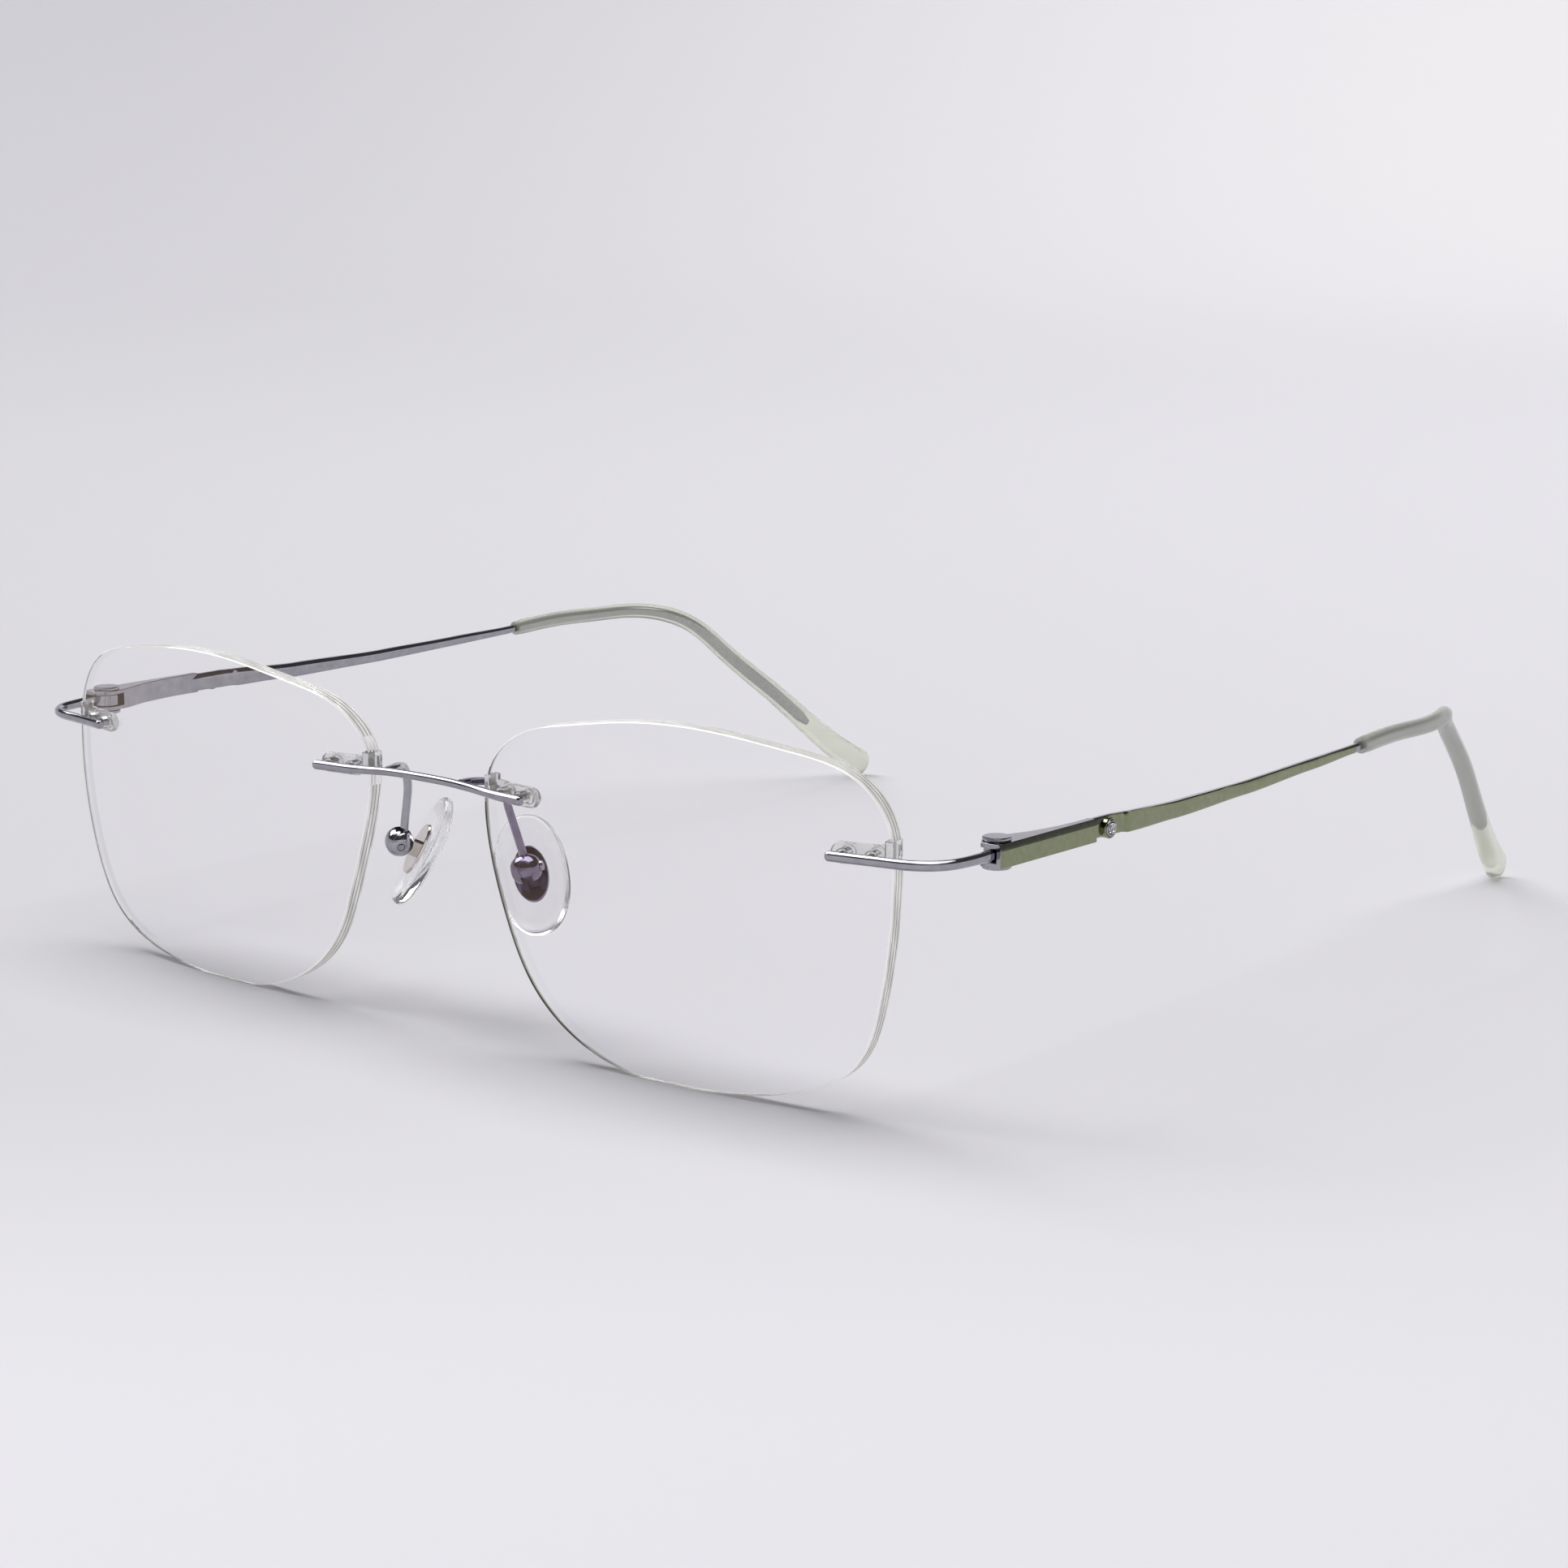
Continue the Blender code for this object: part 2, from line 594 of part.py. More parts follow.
def crystal(side, word, parent, finish):
    """A faceted stone: a table, a crown and a shallow cone behind."""
    girdle = CRYSTAL_RADIUS - 0.06
    profile = [(-0.4, 0.2), (-0.05, girdle), (0.1, girdle), (0.3, 0.38)]
    rings = [(height, radius, radius) for height, radius in profile]
    centre = (BEZEL_OUTER_X, BEZEL_Y, BEZEL_Z)
    shape = stack_rings(centre, (1, 0, 0), (0, 1, 0), rings, 8)
    place(f"{word}_crystal", shape, finish, side, parent)


def sleeve(side, word, parent, finish):
    """The soft tip: a tube over the core that flares and closes in a rounded paddle."""
    path = spline(TIP_PATH, TIP_STATIONS)
    path[0] += SLEEVE_START / 9 * (path[1] - path[0])
    outer = [tip_width(i / (TIP_STATIONS - 1)) for i in range(TIP_STATIONS)]
    sections = [section(wide, tall, 2.2, SLEEVE_SIDES) for wide, tall in outer]
    end = path[-1]
    step = (path[-1] - path[-2]) / np.linalg.norm(path[-1] - path[-2])
    rounded = [(0.8, 0.93), (1.35, 0.75), (1.65, 0.42)]
    path = np.vstack([path] + [[end + step * reach] for reach, _ in rounded])
    for _, shrink in rounded:
        sections.append(section(outer[-1][0] * shrink, outer[-1][1] * shrink, 2.2, SLEEVE_SIDES))
    core_path, core_sizes = core_stations()
    core_path = core_path.copy()
    core_path[0] = path[0]
    core_path[-1] += 0.15 * (core_path[-1] - core_path[-2])
    grow = 2 * SLEEVE_CLEARANCE
    bore = [section(wide + grow, tall + grow, 2.6, SLEEVE_SIDES) for wide, tall in core_sizes]
    bore[-1] = section(core_sizes[-2][0] + grow, core_sizes[-2][1] + grow, 2.6, SLEEVE_SIDES)
    inner_rings = sweep_rings(core_path, bore)
    outer_rings = sweep_rings(path, sections)
    place(f"{word}_tip_sleeve", inner_rings[::-1] + outer_rings, finish, side, parent)


def pad_axes():
    """(facing the nose, lengthways, along the screw)."""
    across = PAD_FACING.cross(PAD_LENGTHWAYS).normalized()
    return PAD_FACING, across.cross(PAD_FACING).normalized(), across


def pad_arm(side, word, finish):
    """Flat wire from the back of the bridge, out behind the lens edge and down to the box."""
    facing, _, across = pad_axes()
    to_box = Vector((-0.8, 0.25, 1.8)).normalized()
    to_box = (to_box - across * to_box.dot(across)).normalized()
    end = BOX_CENTRE + to_box * (BOX_RADIUS + 0.07)
    points = [
        (5.5, 1.4, 28.5), (5.65, 2.2, 28.55), (6.5, 3.75, 28.5), (7.35, 5.2, 28.1),
        (7.88, 6.25, 27.1), (8.1, 6.7, 25.8), (8.65, 7.05, 23.6), tuple(end),
    ]
    path = spline(points, 17)
    sections = []
    for i in range(17):
        widen = max(0.0, 1 - i / 5)
        sections.append(section(0.88 + 0.5 * widen, 0.8 - 0.1 * widen, 6, BAR_SIDES))
    place(f"{word}_pad_arm", upright_rings(path, sections), finish, side)


def upright_rings(path, sections):
    """Rings square to a path that turns from level to steep: the wire's flat side stays outward."""
    path = np.array(path, float)
    tangents = np.gradient(path, axis=0)
    outward = Vector((0.85, -0.5, 0)).normalized()
    rings = []
    for centre, tangent, ring in zip(path, tangents, sections):
        along = Vector(tangent).normalized()
        across = (outward - along * outward.dot(along)).normalized()
        up = across.cross(along)
        rings.append([Vector(centre) + a * across + u * up for a, u in ring])
    return rings


def pad_box(side, word, finish):
    facing, lengthways, across = pad_axes()
    half = BOX_LENGTH / 2
    profile = [(-half, 0.8), (-half + 0.2, 1.08), (-half + 0.6, 1.4), (-half + 1.05, BOX_RADIUS)]
    profile += [(-height, radius) for height, radius in reversed(profile)]
    rings = [(height, radius, radius) for height, radius in profile]
    shape = stack_rings(BOX_CENTRE, across, facing, rings, 20)
    made = place(f"{word}_pad_box", shape, finish, side)
    slot_centre = BOX_CENTRE + facing * (3 - BOX_SLOT_DEPTH) / 2
    slot = box_rings(slot_centre, facing, lengthways, across, (3 + BOX_SLOT_DEPTH, 6, BOX_SLOT))
    combine(made, "DIFFERENCE", f"cut_{word}_box_slot", slot, side)
    bore = rod(BOX_CENTRE - across * 3, BOX_CENTRE + across * 3, PAD_SCREW_RADIUS + 0.05)
    combine(made, "DIFFERENCE", f"cut_{word}_box_bore", bore, side)


def pad_screw(side, word, finish):
    """The cross screw that the pad rocks on: its head stands on the inner end of the box."""
    facing, _, across = pad_axes()
    half = BOX_LENGTH / 2
    under_head = half + 0.03
    profile = [(-half - 0.05, PAD_SCREW_RADIUS), (under_head, PAD_SCREW_RADIUS)]
    profile += [(under_head, 0.6), (half + 0.22, 0.6), (half + 0.35, 0.48)]
    rings = [(height, radius, radius) for height, radius in profile]
    shape = stack_rings(BOX_CENTRE, across, facing, rings, 16)
    place(f"{word}_pad_screw", shape, finish, side)


def pad_insert(side, word, parent, finish):
    """The metal plate in the pad, with the lug that the screw passes through."""
    facing, lengthways, across = pad_axes()
    wide, tall = PLATE_HALF_WIDTH, PLATE_HALF_HEIGHT
    plate = [(PLATE_NEAR, wide - 0.12, tall - 0.12)]
    plate += [(PLATE_NEAR + 0.12, wide, tall), (PLATE_FAR, wide, tall)]
    rings = stack_rings(BOX_CENTRE, facing, across, plate, 28)
    made = place(f"{word}_pad_insert", rings, finish, side, parent)
    reach = PLATE_NEAR + 0.2
    neck_centre = BOX_CENTRE + facing * reach / 2
    neck = box_rings(neck_centre, facing, lengthways, across, (reach, 1.7, LUG_THICKNESS - 0.04))
    combine(made, "UNION", f"add_{word}_lug_neck", neck, side, parent)
    offset = across * LUG_THICKNESS / 2
    lug = rod(BOX_CENTRE - offset, BOX_CENTRE + offset, LUG_RADIUS, 16)
    combine(made, "UNION", f"add_{word}_lug", lug, side, parent)
    bore = rod(BOX_CENTRE - across * 2, BOX_CENTRE + across * 2, PAD_SCREW_RADIUS + 0.06)
    combine(made, "DIFFERENCE", f"cut_{word}_lug_bore", bore, side, parent)


def nose_pad(side, word, parent, finish):
    """A clear oval pad: a flat back with a pocket for the insert, and a domed face."""
    facing, _, across = pad_axes()
    pocket = 0.06
    rings = [
        (PLATE_FAR + pocket, PLATE_HALF_WIDTH + pocket, PLATE_HALF_HEIGHT + pocket),
        (2.35, PLATE_HALF_WIDTH + pocket, PLATE_HALF_HEIGHT + pocket),
        (2.35, 3.3, 6.1), (2.5, 3.75, 6.6), (2.95, 4.0, 6.85), (3.4, 3.8, 6.6),
        (3.9, 3.1, 5.6), (4.25, 1.9, 3.8), (4.4, 0.8, 1.6),
    ]
    shape = stack_rings(BOX_CENTRE, facing, across, rings, PAD_SIDES, 2.15)
    place(f"{word}_nose_pad", shape, finish, side, parent)


SIDES = ((1, "left"), (-1, "right"))


def main():
    clear_scene()
    clear = material("clear_lens", (0.93, 0.93, 0.96), 0.03, 0.0, 0.95)
    moulding = material("clear_moulding", (0.93, 0.93, 0.92), 0.12, 0.0, 0.9)
    polished = material("polished_metal", (0.72, 0.72, 0.74), 0.12, 1.0)
    lacquer = material("olive_lacquer", (0.27, 0.31, 0.19), 0.22, 0.6)
    silicone = material("clear_silicone", (0.9, 0.9, 0.92), 0.15, 0.0, 0.85)
    sleeve_finish = material("translucent_sleeve", (0.78, 0.81, 0.7), 0.3, 0.0, 0.6)
    stone = material("crystal", (0.95, 0.95, 0.97), 0.02, 0.0, 0.9)
    bridge(polished)
    for side, word in SIDES:
        lens(side, word, clear)
        for where in MOUNTS:
            lens_plug(side, word, where, moulding)
        end_piece(side, word, polished)
        pad_arm(side, word, polished)
        pad_box(side, word, polished)
        pad_screw(side, word, polished)
        rocker = axis_empty(f"{word}_pad_axis", BOX_CENTRE, side)
        pad_insert(side, word, rocker, polished)
        nose_pad(side, word, rocker, silicone)
        hinge = axis_empty(f"{word}_hinge_axis", (HINGE_X, HINGE_Y, BLOCK_LOW), side)
        hinge_screw(side, word, hinge, polished)
        hinge_nut(side, word, hinge, polished)
        temple(side, word, hinge, lacquer)
        bezel(side, word, hinge, polished)
        crystal(side, word, hinge, stone)
        sleeve(side, word, hinge, sleeve_finish)


main()
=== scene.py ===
"""The look of the rimless spectacles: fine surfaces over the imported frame, materials, studio and camera.

Lengths are millimetres in the face frame (Y from the lens apex, Z from the table) until world()
turns them into metres of the row frame. Pieces are described for the left side and mirrored.
"""

import json
import math

import bmesh
import bpy
import numpy as np
from mathutils import Matrix, Vector

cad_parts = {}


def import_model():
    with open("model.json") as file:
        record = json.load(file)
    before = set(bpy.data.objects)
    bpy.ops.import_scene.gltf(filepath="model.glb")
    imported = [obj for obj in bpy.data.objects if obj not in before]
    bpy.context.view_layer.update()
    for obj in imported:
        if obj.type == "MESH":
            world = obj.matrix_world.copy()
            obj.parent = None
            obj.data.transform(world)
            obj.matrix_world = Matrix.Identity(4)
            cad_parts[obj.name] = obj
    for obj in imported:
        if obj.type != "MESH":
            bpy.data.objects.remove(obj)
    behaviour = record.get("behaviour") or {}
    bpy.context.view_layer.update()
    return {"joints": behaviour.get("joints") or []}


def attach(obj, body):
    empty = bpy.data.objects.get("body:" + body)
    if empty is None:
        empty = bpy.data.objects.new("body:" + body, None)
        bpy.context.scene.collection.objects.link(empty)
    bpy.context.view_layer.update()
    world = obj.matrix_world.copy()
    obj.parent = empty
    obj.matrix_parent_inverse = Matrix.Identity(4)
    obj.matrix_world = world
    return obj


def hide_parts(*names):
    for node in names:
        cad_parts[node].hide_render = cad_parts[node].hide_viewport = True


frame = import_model()

MM = 0.001
JOINTS = {joint["name"]: joint for joint in frame["joints"]}
SIDES = ((1, "left"), (-1, "right"))

# The hinge and the pad screw stand where the frame's joints are.
HINGE_Y = 14.4
fold = JOINTS["left_temple_fold"]["pos_m"]
rock = JOINTS["left_pad_rock"]["pos_m"]
FOOTPRINT_MID_Y = HINGE_Y - fold[1] / MM
HINGE_X = fold[0] / MM
BOX_CENTRE = Vector((rock[0] / MM, rock[1] / MM + FOOTPRINT_MID_Y, rock[2] / MM))
ROCK_AXIS = Vector(JOINTS["left_pad_rock"]["axis"]).normalized()

# Lens
LENS_CENTRE_X = 36.0
LENS_THICKNESS = 1.85
LENS_RADIUS = 107.6
LENS_WRAP = math.radians(4.0)
LENS_TILT = math.radians(2.5)
LENS_CHAMFER = 0.13
LENS_FLAT_V = -19.7
LENS_REACH = 24.0  # the rim's usual distance from the lens centre
GROOVE_DEPTH = 0.07  # of the fine lines that grinding leaves along the edge
GROOVE_SHARES = (0.28, 0.53, 0.78)  # where they run, as shares of the thickness
SHADE_SHARE, SHADE_TOP = 0.62, 27.0  # the part of the thickness and the height that look dark
LENS_SIDES = 300
LENS_OUTLINE = (
    (25.5, 5.5), (24.7, 11.4), (21.3, 15.4), (14.0, 17.6), (4.5, 18.75), (-5.5, 18.6),
    (-15.0, 17.1), (-22.6, 14.8), (-26.6, 10.6), (-26.8, 4.0), (-24.3, -4.5), (-20.4, -12.4),
    (-14.0, -17.4), (-5.0, -19.8), (5.0, -19.5), (14.0, -18.0), (20.6, -14.4), (23.9, -7.0),
)

# Bars, posts and plugs
BAR_DEPTH, BAR_HEIGHT, BAR_GAP, BAR_BEVEL = 1.0, 1.05, 0.15, 0.28
TEMPORAL_U, TEMPORAL_Z = 21.6, 27.5
NASAL_U, NASAL_Z = -23.0, 28.12
POST_RADIUS, POST_SPACING = 0.42, 3.1
BUSH_RADIUS, LENS_HOLE_RADIUS = 0.7, 0.77
POST_CLEARANCE = 0.08
PLUG_LENGTH, PLUG_HEIGHT, PLUG_THICKNESS, PLUG_GAP = 6.0, 2.2, 0.75, 0.14
NOTCH_DEPTH, NOTCH_HEIGHT, NOTCH_RISE = 0.9, 2.2, 0.75
TAB_CLEARANCE = 0.08

# Hinge and temple
BLOCK_LOW, BLOCK_HIGH = 26.4, 28.8
EAR_THICKNESS, KNUCKLE_RADIUS, KNUCKLE_GAP = 0.45, 1.35, 0.07
PIN_RADIUS, PIN_CLEARANCE = 0.45, 0.06
CAP_RADIUS, CAP_THICKNESS, CAP_GAP = 1.52, 0.4, 0.03
BLOCK_OUTER_X, BLOCK_FRONT_Y, BLOCK_BACK_Y = 68.7, 12.35, 29.2
WALL_INNER_X, SLOT_BACK = 68.15, 1.5
BEZEL_Y, BEZEL_Z = 31.7, 27.47
BEZEL_RADIUS, BEZEL_INNER_X, BEZEL_OUTER_X = 0.88, 67.95, 68.85
BOSS_RADIUS, BOSS_OUTER_X = 1.1, 68.72
CRYSTAL_RADIUS = 0.62

# Nose pad
PAD_FACING = Vector((-0.45, 0.78, -0.43)).normalized()
BOX_RADIUS, BOX_LENGTH, BOX_SLOT, BOX_SLOT_DEPTH = 1.62, 3.1, 1.2, 1.12
LUG_RADIUS, LUG_THICKNESS = 1.0, 1.0
PLATE_NEAR, PLATE_FAR = 2.07, 2.62
PLATE_HALF_WIDTH, PLATE_HALF_HEIGHT = 1.88, 3.13
PAD_SCREW_RADIUS = 0.4


# Curves and rings ---------------------------------------------------------------------------


def smooth_line(points, closed=False):
    """(points, lengths): the smooth curve through the given points, finely divided."""
    p = np.array(points, float)
    n = len(p)
    spans = n if closed else n - 1
    gap = np.array([np.linalg.norm(p[(i + 1) % n] - p[i]) for i in range(spans)])
    slope_of = np.zeros((n, n))
    target = np.zeros_like(p)
    for i in range(spans):
        j = (i + 1) % n
        rise = 3 * (p[j] - p[i]) / gap[i] ** 2
        for a, b in ((i, j), (j, i)):
            slope_of[a, a] += 2 / gap[i]
            slope_of[a, b] += 1 / gap[i]
            target[a] += rise
    slope = np.linalg.solve(slope_of, target)
    t = np.linspace(0, 1, 40, endpoint=False)[:, None]
    pieces = []
    for i in range(spans):
        j = (i + 1) % n
        ease = 3 * t**2 - 2 * t**3
        bend = (t**3 - 2 * t**2 + t) * slope[i] + (t**3 - t**2) * slope[j]
        pieces.append((1 - ease) * p[i] + ease * p[j] + gap[i] * bend)
    fine = np.vstack(pieces + [p[:1] if closed else p[-1:]])
    lengths = np.concatenate([[0], np.cumsum(np.linalg.norm(np.diff(fine, axis=0), axis=1))])
    return fine, lengths


def spline(points, count, closed=False):
    """Evenly spaced points along the smooth curve through the given ones."""
    fine, lengths = smooth_line(points, closed)
    wanted = np.linspace(0, lengths[-1], count, endpoint=not closed)
    return np.stack([np.interp(wanted, lengths, column) for column in fine.T], axis=1)


def oval(width, height, squareness=2.0, sides=48):
    """A section as (across, up) points: squareness 2 is an ellipse, more is squarer."""
    ring = []
    for k in range(sides):
        c = math.cos((k + 0.5) * math.tau / sides)
        s = math.sin((k + 0.5) * math.tau / sides)
        across = math.copysign(abs(c) ** (2 / squareness), c) * width / 2
        up = math.copysign(abs(s) ** (2 / squareness), s) * height / 2
        ring.append((across, up))
    return ring


def slab(width, height, rounding, steps=5):
    """A rectangular section with rounded corners."""
    rounding = min(rounding, 0.49 * width, 0.49 * height)
    ring = []
    for corner, (x, y) in enumerate(((1, 1), (-1, 1), (-1, -1), (1, -1))):
        for step in range(steps + 1):
            turn = (corner + step / steps) * math.pi / 2
            across = x * (width / 2 - rounding) + rounding * math.cos(turn)
            ring.append((across, y * (height / 2 - rounding) + rounding * math.sin(turn)))
    return ring


def faceted(width, height, wide, tall, softness=0.0, lower=1.0, sides=56):
    """A rectangular section with its corners cut off flat by wide across and tall up. Softness 1
    turns it into an ellipse, and the two lower cuts are smaller by the factor lower."""
    ring = []
    for k in range(sides):
        turn = (k + 0.5) * math.tau / sides
        c, s = abs(math.cos(turn)), abs(math.sin(turn))
        share = 1.0 if turn < math.pi else lower
        cut_wide, cut_tall = wide * share, tall * share
        reach = cut_tall * width / 2 + cut_wide * (height / 2 - cut_tall)
        flats = (2 * c / width, 2 * s / height, (cut_tall * c + cut_wide * s) / reach)
        hard = sum(flat**24 for flat in flats) ** (1 / 24)
        nearness = (1 - softness) * hard + softness * math.hypot(flats[0], flats[1])
        ring.append((math.cos(turn) / nearness, math.sin(turn) / nearness))
    return ring


def sweep(path, sections, sideways=None):
    """One ring at each point of the path, square to it. The section's across direction is
    level or, if sideways is given, as near to that direction as it can be."""
    path = np.array(path, float)
    tangents = np.gradient(path, axis=0)
    rings = []
    for centre, tangent, ring in zip(path, tangents, sections):
        along = Vector(tangent).normalized()
        if sideways is None:
            across = along.cross(Vector((0, 0, 1))).normalized()
        else:
            across = (sideways - along * sideways.dot(along)).normalized()
        up = across.cross(along)
        rings.append([Vector(centre) + across * a + up * u for a, u in ring])
    return rings


def turned(centre, axis, across, profile, sides=48, squareness=2.0):
    """Rings about an axis from (height, radius) or (height, half width, half length)."""
    axis = Vector(axis).normalized()
    across = Vector(across).normalized()
    third = axis.cross(across)
    rings = []
    for height, wide, *long in profile:
        ring = oval(2 * wide, 2 * (long[0] if long else wide), squareness, sides)
        rings.append([Vector(centre) + axis * height + across * a + third * b for a, b in ring])
    return rings


def rod(start, end, radius, sides=32, chamfer=0.0):
    start = Vector(start)
    reach = Vector(end) - start
    profile = [(0, radius - chamfer)]
    if chamfer:
        profile += [(chamfer, radius), (reach.length - chamfer, radius)]
    profile.append((reach.length, radius - chamfer))
    return turned(start, reach, reach.orthogonal(), profile, sides)


def block_rings(centre, x_axis, y_axis, z_axis, size):
    half = [axis * length / 2 for axis, length in zip((x_axis, y_axis, z_axis), size)]
    corners = ((-1, -1), (1, -1), (1, 1), (-1, 1))
    return [[centre + half[0] * a + half[1] * b + half[2] * c for a, b in corners] for c in (-1, 1)]


def rounded_outline(outline, radius, steps=5):
    """A plan outline with each corner replaced by an arc."""
    made = []
    count = len(outline)
    for k in range(count):
        corner = Vector(outline[k])
        before = (Vector(outline[k - 1]) - corner).normalized()
        after = (Vector(outline[(k + 1) % count]) - corner).normalized()
        opening = before.angle(after)
        nearest = min((Vector(outline[k - 1]) - corner).length,
                      (Vector(outline[(k + 1) % count]) - corner).length)
        back = min(radius / math.tan(opening / 2), 0.45 * nearest)
        start, end = corner + before * back, corner + after * back
        for step in range(steps + 1):
            t = step / steps
            made.append((1 - t) ** 2 * start + 2 * t * (1 - t) * corner + t**2 * end)
    return made


def inset_outline(outline, inset):
    """The outline moved inward by the inset, which it goes round anticlockwise."""
    moved = []
    count = len(outline)
    for k in range(count):
        corner = Vector(outline[k])
        before = (corner - Vector(outline[k - 1])).normalized()
        after = (Vector(outline[(k + 1) % count]) - corner).normalized()
        inward = Vector((-before.y - after.y, before.x + after.x)).normalized()
        moved.append(corner + inward * inset / inward.dot(Vector((-before.y, before.x))))
    return moved


def rim_rings(outline, low, high, rounding, corner, steps=4):
    """A plan outline raised from low to high, with its corners and both rims rounded over."""
    turns = [step / steps * math.pi / 2 for step in range(steps + 1)]
    levels = [(low + rounding * (1 - math.sin(t)), rounding * (1 - math.cos(t))) for t in turns[::-1]]
    levels += [(high - rounding * (1 - math.sin(t)), rounding * (1 - math.cos(t))) for t in turns]
    rings = []
    for z, inset in levels:
        ring = rounded_outline(inset_outline(outline, inset), max(0.03, corner - inset), 3)
        rings.append([Vector((p.x, p.y, z)) for p in ring])
    return rings


# Blender objects ----------------------------------------------------------------------------


def world(point, side):
    """A left-hand point in millimetres as a point of the row frame, in metres."""
    return Vector((side * point[0], point[1] - FOOTPRINT_MID_Y, point[2])) * MM


def skinned(rings):
    """(bmesh, loops): faces between each ring of world points and the next, both ends open."""
    shape = bmesh.new()
    loops = [[shape.verts.new(p) for p in ring] for ring in rings]
    for near, far in zip(loops, loops[1:]):
        for k in range(len(near)):
            n = (k + 1) % len(near)
            shape.faces.new((near[k], near[n], far[n], far[k]))
    return shape, loops


def placed(name, shape):
    """Turns the bmesh into an object of the scene."""
    bmesh.ops.recalc_face_normals(shape, faces=shape.faces)
    mesh = bpy.data.meshes.new(name)
    shape.to_mesh(mesh)
    shape.free()
    obj = bpy.data.objects.new(name, mesh)
    bpy.context.scene.collection.objects.link(obj)
    return obj


def skin(name, rings, side=1, poles=(None, None)):
    """Skins the rings and closes both ends, with a fan to a pole where one is given."""
    shape, loops = skinned([[world(p, side) for p in ring] for ring in rings])
    for loop, pole in ((loops[0], poles[0]), (loops[-1], poles[1])):
        if pole is None:
            shape.faces.new(loop)
            continue
        tip = shape.verts.new(world(pole, side))
        for k in range(len(loop)):
            shape.faces.new((loop[k], loop[(k + 1) % len(loop)], tip))
    return placed(name, shape)


def combine(target, operation, *shapes, side):
    """Joins shapes to the target, or cuts them away, and keeps the result as its mesh."""
    helpers = []
    for rings in shapes:
        helper = skin("helper", rings, side)
        helpers.append(helper)
        modifier = target.modifiers.new("join", "BOOLEAN")
        modifier.operation = operation
        modifier.solver = "EXACT"
        modifier.object = helper
    graph = bpy.context.evaluated_depsgraph_get()
    mesh = bpy.data.meshes.new_from_object(target.evaluated_get(graph))
    target.modifiers.clear()
    target.data = mesh
    for helper in helpers:
        bpy.data.objects.remove(helper)


def finish(obj, node, body, slot, *materials, sharp=30.0, flat=False):
    """Shades the piece, gives it its materials and puts it on its body for its CAD node."""
    mesh = obj.data
    mesh.materials.clear()
    for material in materials:
        mesh.materials.append(material)
    if not flat:
        mesh.shade_smooth()
        mesh.set_sharp_from_angle(angle=math.radians(sharp))
        weighted = obj.modifiers.new("even shading", "WEIGHTED_NORMAL")
        weighted.keep_sharp = True
    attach(obj, body)
    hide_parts(node)


def paint_faces(obj, side, index, wanted):
    """Gives the faces for which wanted(centre, normal) holds, in left-hand millimetres, a material."""
    for face in obj.data.polygons:
        x, y, z = face.center / MM
        centre = Vector((side * x, y + FOOTPRINT_MID_Y, z))
        normal = Vector((side * face.normal.x, face.normal.y, face.normal.z))
        if wanted(centre, normal):
            face.material_index = index


# Places on the lens -------------------------------------------------------------------------


def lens_point(u, v, depth, lift):
    """A point of the left lens: u towards the temple and v up, depth back from its front."""
    back = (u * u + v * v) / (2 * LENS_RADIUS) + depth
    y = back * math.cos(LENS_TILT) - v * math.sin(LENS_TILT)
    z = back * math.sin(LENS_TILT) + v * math.cos(LENS_TILT)
    x = u * math.cos(LENS_WRAP) - y * math.sin(LENS_WRAP)
    y = u * math.sin(LENS_WRAP) + y * math.cos(LENS_WRAP)
    return Vector((LENS_CENTRE_X + x, y, z + lift))


def lens_depth(point):
    """How far a point near the left lens lies behind the lens's front surface."""
    x, y, z = point.x - LENS_CENTRE_X, point.y, point.z - LENS_LIFT
    u = x * math.cos(LENS_WRAP) + y * math.sin(LENS_WRAP)
    y = y * math.cos(LENS_WRAP) - x * math.sin(LENS_WRAP)
    v = z * math.cos(LENS_TILT) - y * math.sin(LENS_TILT)
    back = y * math.cos(LENS_TILT) + z * math.sin(LENS_TILT)
    return back - (u * u + v * v) / (2 * LENS_RADIUS)


OUTLINE = spline(LENS_OUTLINE, LENS_SIDES, closed=True)
OUTLINE[:, 1] = np.maximum(OUTLINE[:, 1], LENS_FLAT_V)
LENS_LIFT = -min(lens_point(u, v, LENS_CHAMFER, 0).z for u, v in OUTLINE)


